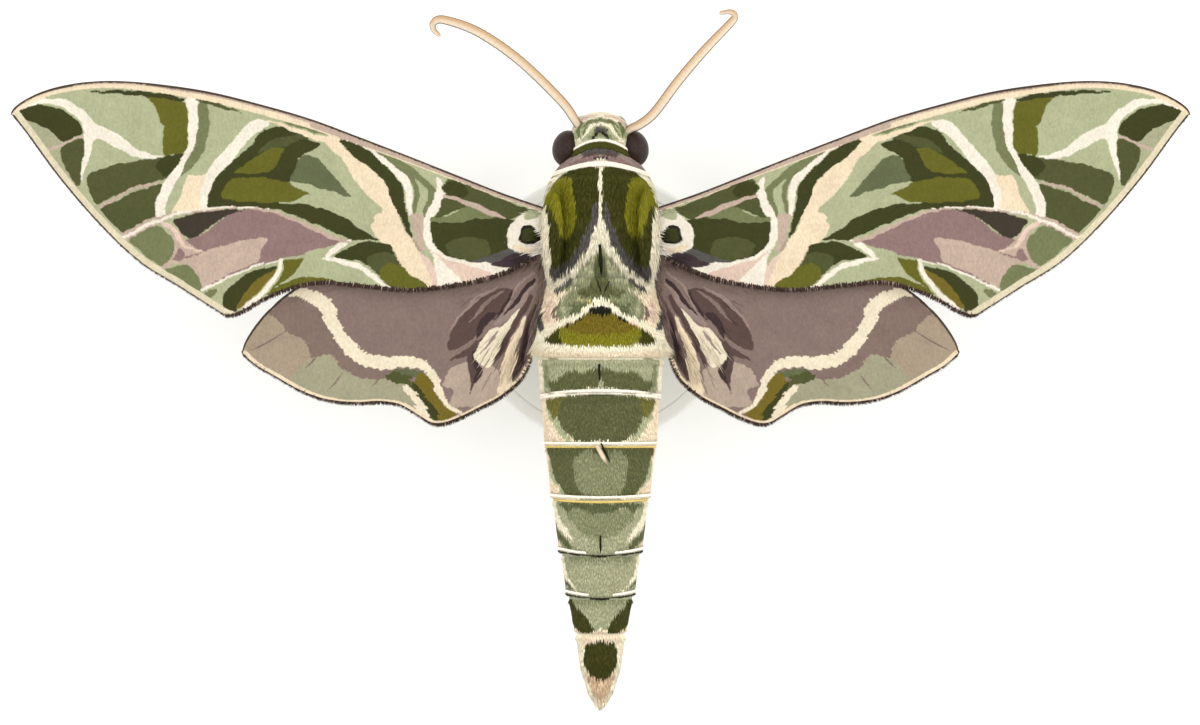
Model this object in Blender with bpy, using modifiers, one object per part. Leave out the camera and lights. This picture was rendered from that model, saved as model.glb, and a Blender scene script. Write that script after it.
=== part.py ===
"""Oleander hawk moth at life size, wings spread as in flight, held up by a small display stand.

Frame: +Z is up, +Y runs towards the tail and +X is the moth's left. The origin is the centre of the
stand's underside. Lengths below are in millimetres; MM turns them into metres.
Points on the moth are (out, aft, up): out from its midline, aft of the rod, up from the body's axis.
"""

import math

import bmesh
import bpy
from mathutils import Matrix, Vector
from mathutils.geometry import interpolate_bezier

MM = 0.001

# Driving dimensions
WINGSPAN = 110.0
AXIS_HEIGHT = 22.0
GAP = 0.3
WING_THICKNESS = 0.5
SIDES = {"left": 1, "right": -1}

# The body's parts, front to back: (aft, half width, top, bottom) of each ring.
HEAD = [
    (-18.05, 1.2, 0.6, -0.9),
    (-17.75, 2.0, 1.3, -1.9),
    (-17.1, 2.75, 2.1, -2.7),
    (-16.0, 3.0, 2.7, -3.2),
    (-14.3, 3.0, 3.1, -3.4),
]
COLLAR = [(-14.0, 3.3, 3.3, -3.6), (-13.2, 4.1, 3.8, -4.1), (-12.4, 4.7, 4.4, -4.6)]
THORAX = [
    (-12.1, 4.9, 4.6, -4.7),
    (-11.0, 5.4, 5.2, -5.2),
    (-9.3, 5.7, 5.7, -5.7),
    (-7.0, 5.6, 6.0, -5.9),
    (-4.8, 5.4, 5.9, -5.7),
    (-3.0, 5.3, 5.5, -5.4),
]
METATHORAX = [(-2.7, 5.3, 5.3, -5.3), (-1.4, 5.6, 5.0, -5.1), (-0.3, 5.8, 4.8, -5.0)]

# Where each abdominal segment begins, with the last one's end, and the abdomen's outline there.
ABDOMEN_JOINTS = [0.0, 5.05, 8.3, 13.2, 18.2, 23.5, 27.5, 30.9]
ABDOMEN_OUTLINE = [
    (0.0, 5.9, 4.8, -5.0),
    (3.6, 6.4, 5.3, -5.3),
    (8.3, 5.85, 5.3, -5.2),
    (13.2, 5.45, 5.0, -5.0),
    (18.2, 4.8, 4.5, -4.5),
    (23.5, 4.0, 3.8, -3.8),
    (27.5, 3.3, 3.1, -3.2),
    (30.9, 2.55, 2.4, -2.6),
    (34.0, 2.1, 1.9, -2.1),
    (36.2, 1.4, 1.2, -1.4),
    (37.2, 0.75, 0.6, -0.8),
    (37.6, 0.3, 0.2, -0.35),
]

# Each wing is ruled between a leading and a trailing edge: its ribs, from root to tip.
FOREWING_RIBS = [
    ((5.9, -9.4), (5.9, -4.2)),
    ((9.4, -10.6), (9.4, -2.5)),
    ((13.1, -12.05), (13.1, -1.6)),
    ((17.8, -13.9), (17.8, -1.1)),
    ((22.5, -15.7), (22.5, -1.5)),
    ((27.1, -17.4), (26.2, -1.8)),
    ((31.8, -18.75), (29.0, -1.2)),
    ((36.5, -19.9), (31.4, -0.2)),
    ((41.2, -20.6), (33.2, 0.85)),
    ((45.0, -20.9), (34.7, 1.3)),
    ((48.0, -20.8), (36.0, 0.6)),
    ((50.5, -20.4), (39.3, -1.5)),
    ((52.2, -19.9), (43.1, -3.9)),
    ((53.5, -19.3), (46.8, -7.4)),
    ((54.3, -18.8), (50.5, -11.7)),
    ((54.8, -18.35), (53.35, -15.6)),
    ((55.0, -18.0), (54.8, -17.5)),
]
HINDWING_RIBS = [
    ((6.25, -3.9), (6.45, 0.3)),
    ((7.6, -3.8), (6.75, 3.2)),
    ((9.0, -3.7), (6.95, 5.3)),
    ((10.6, -3.6), (7.7, 7.1)),
    ((12.2, -3.55), (9.4, 8.85)),
    ((14.0, -3.5), (11.3, 10.0)),
    ((15.8, -3.5), (13.1, 10.9)),
    ((17.6, -3.45), (14.7, 11.45)),
    ((19.4, -3.4), (15.8, 11.4)),
    ((21.2, -3.3), (16.9, 10.75)),
    ((23.0, -3.15), (18.7, 9.7)),
    ((24.8, -2.9), (20.6, 9.4)),
    ((26.5, -2.5), (22.5, 9.5)),
    ((28.2, -1.8), (24.4, 9.4)),
    ((29.8, -0.7), (26.2, 9.05)),
    ((31.2, 0.6), (28.1, 8.3)),
    ((32.3, 1.9), (30.4, 7.0)),
    ((33.2, 3.3), (32.3, 5.9)),
    ((33.55, 4.3), (33.5, 4.8)),
]
WING_ROOT_OUT = 5.9
WING_ROOT_UP = 2.6
WING_ARCH = 5.0
WING_CAMBER = 0.45
FOREWING_TWIST = 0.5
HINDWING_DROP = 0.95
HINDWING_SLOPE = 0.08

# Head pieces: centre and half axes on the left side
EYE_CENTRE, EYE_HALF = (3.25, -14.8, -0.3), (1.5, 1.65, 1.95)
PALP_CENTRE, PALP_HALF = (1.65, -16.7, -2.9), (0.95, 1.25, 1.75)
PALP_LEAN = math.radians(-18)
TEGULA_CENTRE, TEGULA_HALF = (4.9, -6.9, 4.6), (1.75, 4.5, 0.55)
TEGULA_TILT = math.radians(35)
ANTENNA_RADIUS = 0.5
ANTENNA_TIP_RADIUS = 0.25
# The two antennae are held differently, so each has a line of its own.
ANTENNAE = {
    "left": [
        (2.35, -17.3, 1.0),
        (3.74, -19.2, 1.6),
        (7.6, -22.9, 2.5),
        (11.4, -25.5, 3.0),
        (14.6, -26.65, 3.1),
        (15.6, -26.4, 3.0),
        (15.6, -25.75, 2.9),
        (15.0, -25.15, 2.8),
    ],
    "right": [
        (3.7, -16.75, 1.0),
        (5.1, -18.1, 1.4),
        (7.3, -21.0, 2.1),
        (9.7, -23.8, 2.7),
        (12.0, -26.2, 3.0),
        (12.55, -26.95, 3.05),
        (12.2, -27.4, 3.0),
        (11.1, -27.3, 2.9),
    ],
}
TONGUE_CENTRE = (0.0, -16.9, -4.95)
TONGUE_RADIUS = 0.25
TONGUE_COIL = 1.2
TONGUE_TURNS = 1.5
TONGUE_BORE = 0.3

# Each leg's hip, knee, ankle and toe, and each segment's radius at its start, middle and end.
LEGS = {
    "foreleg": [(1.7, -10.6, -6.0), (3.3, -14.8, -5.9), (2.3, -11.2, -8.6), (1.7, -6.4, -8.4)],
    "midleg": [(2.5, -7.4, -6.4), (5.0, -3.2, -6.9), (4.6, 2.2, -7.3), (4.1, 8.2, -7.0)],
    "hindleg": [(2.0, -3.2, -6.3), (3.1, 1.2, -7.2), (2.5, 8.2, -7.1), (1.9, 15.5, -6.4)],
}
LEG_SEGMENTS = {
    "femur": (0.42, 0.58, 0.4),
    "tibia": (0.32, 0.42, 0.34),
    "tarsus": (0.3, 0.28, 0.25),
}

BASE_RADIUS = 13.0
BASE_THICKNESS = 3.0
BASE_BEVEL = 0.5
ROD_RADIUS = 1.1
ROD_FOOT = (2.8, 0.8)
ROD_PAD = (1.7, 0.6)
BODY_UNDERSIDE = -5.3

COLOURS = {  # linear base colour, roughness and metallic value
    "coat": ((0.12, 0.13, 0.05), 0.9, 0.0),
    "forewing": ((0.30, 0.32, 0.18), 0.85, 0.0),
    "hindwing": ((0.28, 0.20, 0.17), 0.85, 0.0),
    "eye": ((0.045, 0.028, 0.022), 0.25, 0.0),
    "antenna": ((0.80, 0.62, 0.38), 0.6, 0.0),
    "leg": ((0.55, 0.48, 0.34), 0.7, 0.0),
    "stand": ((0.80, 0.80, 0.78), 0.4, 0.0),
    "steel": ((0.55, 0.55, 0.56), 0.3, 1.0),
}


def clear_scene():
    for thing in list(bpy.data.objects):
        bpy.data.objects.remove(thing, do_unlink=True)


def collection(name):
    made = bpy.data.collections.new(name)
    bpy.context.scene.collection.children.link(made)
    return made


def material(name):
    colour, roughness, metallic = COLOURS[name]
    made = bpy.data.materials.new(name)
    made.use_nodes = True
    shader = made.node_tree.nodes["Principled BSDF"]
    shader.inputs["Base Color"].default_value = (*colour, 1.0)
    shader.inputs["Roughness"].default_value = roughness
    shader.inputs["Metallic"].default_value = metallic
    return made


def place(out, aft, up, side=1):
    """A point on the moth as a position in metres."""
    return Vector((side * out, aft, AXIS_HEIGHT + up)) * MM


def new_object(name, data, home, finish=None):
    made = bpy.data.objects.new(name, data)
    home.objects.link(made)
    if finish:
        made.data.materials.append(finish)
    return made


def mesh_object(name, bm, home, finish=None):
    bm.normal_update()
    bmesh.ops.recalc_face_normals(bm, faces=bm.faces)
    mesh = bpy.data.meshes.new(name)
    bm.to_mesh(mesh)
    bm.free()
    mesh.shade_smooth()
    mesh.set_sharp_from_angle(angle=math.radians(50))
    return new_object(name, mesh, home, finish)


def smooth_points(points, steps):
    """Points along a smooth curve through the given ones: a Bezier span between each two neighbours."""
    points = [Vector(p) for p in points]
    found = [points[0]]
    for i in range(len(points) - 1):
        before, after = points[max(i - 1, 0)], points[min(i + 2, len(points) - 1)]
        start, end = points[i], points[i + 1]
        lead_out = start + (end - before) / 6
        lead_in = end - (after - start) / 6
        found += interpolate_bezier(start, lead_out, lead_in, end, steps + 1)[1:]
    return found


def loft(name, rings, segments, home, finish):
    """A closed body through elliptical rings (aft, half width, top, bottom)."""
    bm = bmesh.new()
    loops = []
    for aft, width, top, bottom in rings:
        corners = bmesh.ops.create_circle(bm, segments=segments, radius=1.0)["verts"]
        for corner in corners:
            across, level = corner.co.x * width, corner.co.y * (top - bottom) / 2
            corner.co = place(across, aft, (top + bottom) / 2 + level)
        loops.append(list({edge for corner in corners for edge in corner.link_edges}))
    for first, second in zip(loops, loops[1:]):
        bmesh.ops.bridge_loops(bm, edges=first + second)
    for end in (loops[0], loops[-1]):
        bmesh.ops.contextual_create(bm, geom=end)
    return mesh_object(name, bm, home, finish)


def ellipsoid(name, centre, half, side, home, finish=None, segments=16, rings=10, turn=None):
    """A sphere stretched to its half axes; turn is a rotation given for the left side."""
    bm = bmesh.new()
    bmesh.ops.create_uvsphere(bm, u_segments=segments, v_segments=rings, radius=1.0)
    matrix = (turn or Matrix.Identity(4)) @ Matrix.Diagonal((*half, 1.0))
    bmesh.ops.transform(bm, matrix=matrix, verts=bm.verts)
    for corner in bm.verts:
        out, aft, up = corner.co + Vector(centre)
        corner.co = place(out, aft, up, side)
    return mesh_object(name, bm, home, finish)


def outline_at(aft):
    """The abdomen's (half width, top, bottom) at a distance aft, read between its outline's rings."""
    for first, second in zip(ABDOMEN_OUTLINE, ABDOMEN_OUTLINE[1:]):
        if aft <= second[0]:
            share = (aft - first[0]) / (second[0] - first[0])
            return [a + (b - a) * share for a, b in zip(first[1:], second[1:])]
    return list(ABDOMEN_OUTLINE[-1][1:])


def abdomen_rings(start, end):
    """One segment's rings: it swells a little from its front edge, as each sclerite laps the next."""
    rings = []
    for share, swell in ((0.0, 0.95), (0.35, 1.0), (1.0, 1.0)):
        aft = start + (end - start) * share
        rings.append((aft, *[value * swell for value in outline_at(aft)]))
    return rings


def wing_arch(out):
    """How high the wings' plane stands over the body's axis at a distance out."""
    share = (out - WING_ROOT_OUT) / (WINGSPAN / 2 - WING_ROOT_OUT)
    return WING_ROOT_UP + WING_ARCH * share * (1 - 0.7 * share)


def forewing_up(out, aft, chord):
    camber = WING_CAMBER * 4 * chord * (1 - chord)
    return wing_arch(out) + camber - FOREWING_TWIST * chord * chord


def hindwing_up(out, aft, chord):
    slope = HINDWING_SLOPE * (aft - HINDWING_RIBS[0][0][1])
    return wing_arch(out) - FOREWING_TWIST - HINDWING_DROP - slope


def wing(name, ribs, up, side, steps, chords, home, finish):
    """A thin shell ruled between the leading and trailing edges."""
    leading = smooth_points([(*rib[0], 0.0) for rib in ribs], steps)
    trailing = smooth_points([(*rib[1], 0.0) for rib in ribs], steps)
    bm = bmesh.new()
    bmesh.ops.create_grid(bm, x_segments=len(leading) - 1, y_segments=chords, size=0.5)
    for corner in bm.verts:
        row = round((corner.co.x + 0.5) * (len(leading) - 1))
        chord = corner.co.y + 0.5
        out, aft, _ = leading[row].lerp(trailing[row], chord)
        corner.co = place(out, aft, up(out, aft, chord), side)
    made = mesh_object(name, bm, home, finish)
    shell = made.modifiers.new("thickness", "SOLIDIFY")
    shell.thickness = WING_THICKNESS * MM
    shell.offset = 0.0
    return made


def tube(name, points, radii, side, home, finish, resolution=1):
    """A round rod through points, with a radius for each."""
    curve = bpy.data.curves.new(name, "CURVE")
    curve.dimensions = "3D"
    curve.bevel_depth = MM
    curve.bevel_resolution = resolution
    curve.use_fill_caps = True
    spline = curve.splines.new("POLY")
    spline.points.add(len(points) - 1)
    for knot, point, radius in zip(spline.points, points, radii):
        knot.co = (*place(*point, side), 1.0)
        knot.radius = radius
    return new_object(name, curve, home, finish)


def turned(name, profile, home, finish, segments):
    """A solid of revolution about the rod's axis; the profile is (radius, height), top to bottom."""
    bm = bmesh.new()
    corners = [bm.verts.new((radius * MM, 0.0, height * MM)) for radius, height in profile]
    for first, second in zip(corners, corners[1:]):
        bm.edges.new((first, second))
    mesh = bpy.data.meshes.new(name)
    bm.to_mesh(mesh)
    bm.free()
    made = new_object(name, mesh, home, finish)
    screw = made.modifiers.new("turn", "SCREW")
    screw.axis = "Z"
    screw.steps = screw.render_steps = segments
    screw.use_merge_vertices = True
    screw.merge_threshold = 0.00001
    return made


def cut(target, cutter):
    step = target.modifiers.new("cut_" + cutter.name, "BOOLEAN")
    step.operation = "DIFFERENCE"
    step.object = cutter


def as_cutter(thing):
    thing.hide_render = True
    thing.display_type = "WIRE"
    return thing


def enlarged(half):
    return [value + GAP for value in half]


def make_head(parts, cutters, finishes):
    """The head with its eyes, palps, antennae and coiled tongue; sockets are cut to clear each."""
    coat, eye, horn = finishes["coat"], finishes["eye"], finishes["antenna"]
    head = loft("head", HEAD, 24, parts, coat)
    collar = loft("collar", COLLAR, 24, parts, coat)
    lean = Matrix.Rotation(PALP_LEAN, 4, "X")
    for name, side in SIDES.items():
        ellipsoid(f"eye_{name}", EYE_CENTRE, EYE_HALF, side, parts, eye)
        ellipsoid(f"palp_{name}", PALP_CENTRE, PALP_HALF, side, parts, coat, 12, 8, lean)
        line = ANTENNAE[name]
        socket = enlarged([ANTENNA_RADIUS] * 3)
        holes = {
            "eye": (EYE_CENTRE, enlarged(EYE_HALF), None),
            "palp": (PALP_CENTRE, enlarged(PALP_HALF), lean),
            "antenna": (line[0], socket, None),
        }
        for what, (centre, half, turn) in holes.items():
            hole = ellipsoid(f"cut_{what}_{name}", centre, half, side, cutters, None, 16, 10, turn)
            cut(head, as_cutter(hole))
            if what == "eye":
                cut(collar, hole)
        points = smooth_points(line, 4)
        taper = [index / (len(points) - 1) for index in range(len(points))]
        slim = ANTENNA_RADIUS - ANTENNA_TIP_RADIUS
        radii = [ANTENNA_RADIUS - slim * share**4 for share in taper]
        tube(f"antenna_{name}", points, radii, side, parts, horn)
    return head


def make_tongue(parts, finish):
    """The proboscis, rolled up like a watch spring between the palps."""
    count = 30
    points = []
    for index in range(count + 1):
        share = index / count
        angle = 2 * math.pi * TONGUE_TURNS * share + math.pi / 2
        reach = TONGUE_COIL - (TONGUE_COIL - TONGUE_BORE) * share
        out, aft, up = TONGUE_CENTRE
        points.append((out, aft + reach * math.cos(angle), up + reach * math.sin(angle)))
    radii = [TONGUE_RADIUS] * len(points)
    tube("tongue", points, radii, 1, parts, finish, 0)


def make_trunk(parts, finish):
    loft("thorax", THORAX, 26, parts, finish)
    loft("metathorax", METATHORAX, 26, parts, finish)
    tilt = Matrix.Rotation(TEGULA_TILT, 4, "Y")
    for name, side in SIDES.items():
        ellipsoid(f"tegula_{name}", TEGULA_CENTRE, TEGULA_HALF, side, parts, finish, 16, 8, tilt)


def make_abdomen(parts, finish):
    """Seven banded segments and the pointed last one, parted by thin cuts."""
    for number, start in enumerate(ABDOMEN_JOINTS, 1):
        last = number == len(ABDOMEN_JOINTS)
        if last:
            rings = [(start, *outline_at(start)), *ABDOMEN_OUTLINE[-4:]]
        else:
            rings = abdomen_rings(start, ABDOMEN_JOINTS[number] - GAP)
        loft(f"abdomen_{number}", rings, 24, parts, finish)


def make_wings(parts, fore_finish, hind_finish):
    for name, side in SIDES.items():
        wing(f"forewing_{name}", FOREWING_RIBS, forewing_up, side, 2, 6, parts, fore_finish)
        wing(f"hindwing_{name}", HINDWING_RIBS, hindwing_up, side, 1, 6, parts, hind_finish)


def make_legs(parts, finish):
    """Femur, tibia and tarsus of the six folded legs, each begun clear of the one before it."""
    for leg, joints in LEGS.items():
        for name, side in SIDES.items():
            back, last_radius = None, 0.0
            for index, (segment, radii) in enumerate(LEG_SEGMENTS.items()):
                start, end = Vector(joints[index]), Vector(joints[index + 1])
                along = (end - start).normalized()
                if back:
                    fold = min(back.angle(along), math.pi / 2)
                    start += along * (last_radius + radii[0] + GAP) / math.sin(fold)
                points = [start, start.lerp(end, 0.4), end]
                tube(f"{leg}_{name}_{segment}", points, radii, side, parts, finish, 2)
                back, last_radius = -along, radii[-1]


def make_stand(parts, base_finish, rod_finish):
    base = [(0.0, BASE_THICKNESS), (BASE_RADIUS - BASE_BEVEL, BASE_THICKNESS)]
    base += [(BASE_RADIUS, BASE_THICKNESS - BASE_BEVEL), (BASE_RADIUS, 0.0), (0.0, 0.0)]
    turned("stand_base", base, parts, base_finish, 48)
    low, high = BASE_THICKNESS + GAP, AXIS_HEIGHT + BODY_UNDERSIDE - GAP
    foot_radius, foot_height = ROD_FOOT
    pad_radius, pad_height = ROD_PAD
    rod = [(0.0, high), (pad_radius, high), (pad_radius, high - pad_height)]
    rod += [(ROD_RADIUS, high - 2 * pad_height), (ROD_RADIUS, low + 2 * foot_height)]
    rod += [(foot_radius, low + foot_height), (foot_radius, low), (0.0, low)]
    turned("stand_rod", rod, parts, rod_finish, 20)


def main():
    clear_scene()
    parts, cutters = collection("hawk_moth"), collection("cutters")
    finishes = {name: material(name) for name in COLOURS}
    make_head(parts, cutters, finishes)
    make_tongue(parts, finishes["antenna"])
    make_trunk(parts, finishes["coat"])
    make_abdomen(parts, finishes["coat"])
    make_wings(parts, finishes["forewing"], finishes["hindwing"])
    make_legs(parts, finishes["leg"])
    make_stand(parts, finishes["stand"], finishes["steel"])


main()
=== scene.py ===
"""The looks of a life-size oleander hawk moth with its wings spread, held up by a display stand.

Points on the moth are in millimetres: out from its midline to its left, aft of the stand's rod and up
from the body's axis. The body carries one skin under a coat of scale hairs, and each wing is a thin
membrane with raised veins, a pattern of scales and a fringe.
"""

import math

import bmesh
import bpy
import numpy as np
from mathutils import Matrix, Vector


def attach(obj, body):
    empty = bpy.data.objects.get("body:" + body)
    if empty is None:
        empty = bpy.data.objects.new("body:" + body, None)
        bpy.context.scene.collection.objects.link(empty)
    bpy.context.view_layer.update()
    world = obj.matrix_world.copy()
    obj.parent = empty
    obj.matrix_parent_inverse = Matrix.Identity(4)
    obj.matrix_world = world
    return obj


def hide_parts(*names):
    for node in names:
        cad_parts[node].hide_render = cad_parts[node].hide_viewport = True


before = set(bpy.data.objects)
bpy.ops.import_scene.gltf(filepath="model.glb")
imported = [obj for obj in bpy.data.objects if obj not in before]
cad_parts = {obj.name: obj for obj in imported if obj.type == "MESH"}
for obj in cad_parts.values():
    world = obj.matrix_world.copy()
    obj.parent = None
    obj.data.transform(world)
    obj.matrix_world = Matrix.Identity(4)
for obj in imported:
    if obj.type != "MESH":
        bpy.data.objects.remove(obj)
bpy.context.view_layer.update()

MM = 0.001
AXIS_HEIGHT = 22.0
HALF_SPAN = 55.0
SIDES = {"left": 1, "right": -1}
rng = np.random.default_rng(31)


def linear(hex_colour):
    """An sRGB hex colour as linear red, green, blue and an alpha of 1."""
    parts = [int(hex_colour[i : i + 2], 16) / 255 for i in (1, 3, 5)]
    return [p / 12.92 if p <= 0.04045 else ((p + 0.055) / 1.055) ** 2.4 for p in parts] + [1.0]


def rgb(hex_colour):
    """The linear red, green and blue of an sRGB hex colour."""
    return np.array(linear(hex_colour)[:3])


def blend(first, second, share):
    """A share of the second colour in the first."""
    return first * (1 - share) + second * share


def unit(ways):
    """Directions, each made one long."""
    return ways / np.linalg.norm(ways, axis=1, keepdims=True)


def swell(gap, width):
    """A soft bump: 1 where there is no gap, and next to nothing from twice the width."""
    return np.exp(-((gap / width) ** 2))


def read_off(at, table):
    """The values of a table of (place, value) at given places."""
    return np.interp(at, *np.array(table).T)


# ---- The pattern: smooth patches and tapering bands, each laid over the ones before it ----

# Colours of the scales on the upper side of the body and wings
UPPER = {
    "sage": "#a2a581",
    "pale_sage": "#9b9b7b",
    "grey_sage": "#7e815f",
    "mid_green": "#6b704a",
    "grey_moss": "#595f3f",
    "moss": "#484b26",
    "deep_moss": "#343610",
    "olive": "#5b5a16",
    "ochre": "#6a5c19",
    "cream": "#dfd7c5",
    "peach": "#ddcaab",
    "pink": "#d2b8a6",
    "pink_beige": "#b39e8d",
    "mauve": "#846b66",
    "brown": "#7c6961",
    "dark_brown": "#372f23",
    "plum": "#3b2e31",
    "tan": "#9b8a75",
    "grey": "#504c48",
    "black": "#191810",
    "margin": "#cfc4a6",
    # The coat_ greens are lighter copies of deep_moss, olive and moss, painted light to make up for the shade
    # the body's long hair casts on itself
    "coat_deep": "#3a3a12",
    "coat_olive": "#747019",
    "coat_moss": "#585a38",
    "umber": "#382928",
    "sage_tan": "#969277",
    "brown_shade": "#78655b",
    "pale_pink": "#a89585",
    "shade": "#53403b",
    "gold": "#c4ad65",
    "tail_pink": "#c2a788",
    "rim": "#43352b",
    "ivory": "#ddd0b5",
    "dust": "#907d74",
}
# Colours of the body's coat alone: long hair shades itself, so its creams start paler
COAT_TINTS = {"cream": "#ede5ca", "peach": "#e2d1b4", "shoulder": "#68652f"}

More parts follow.
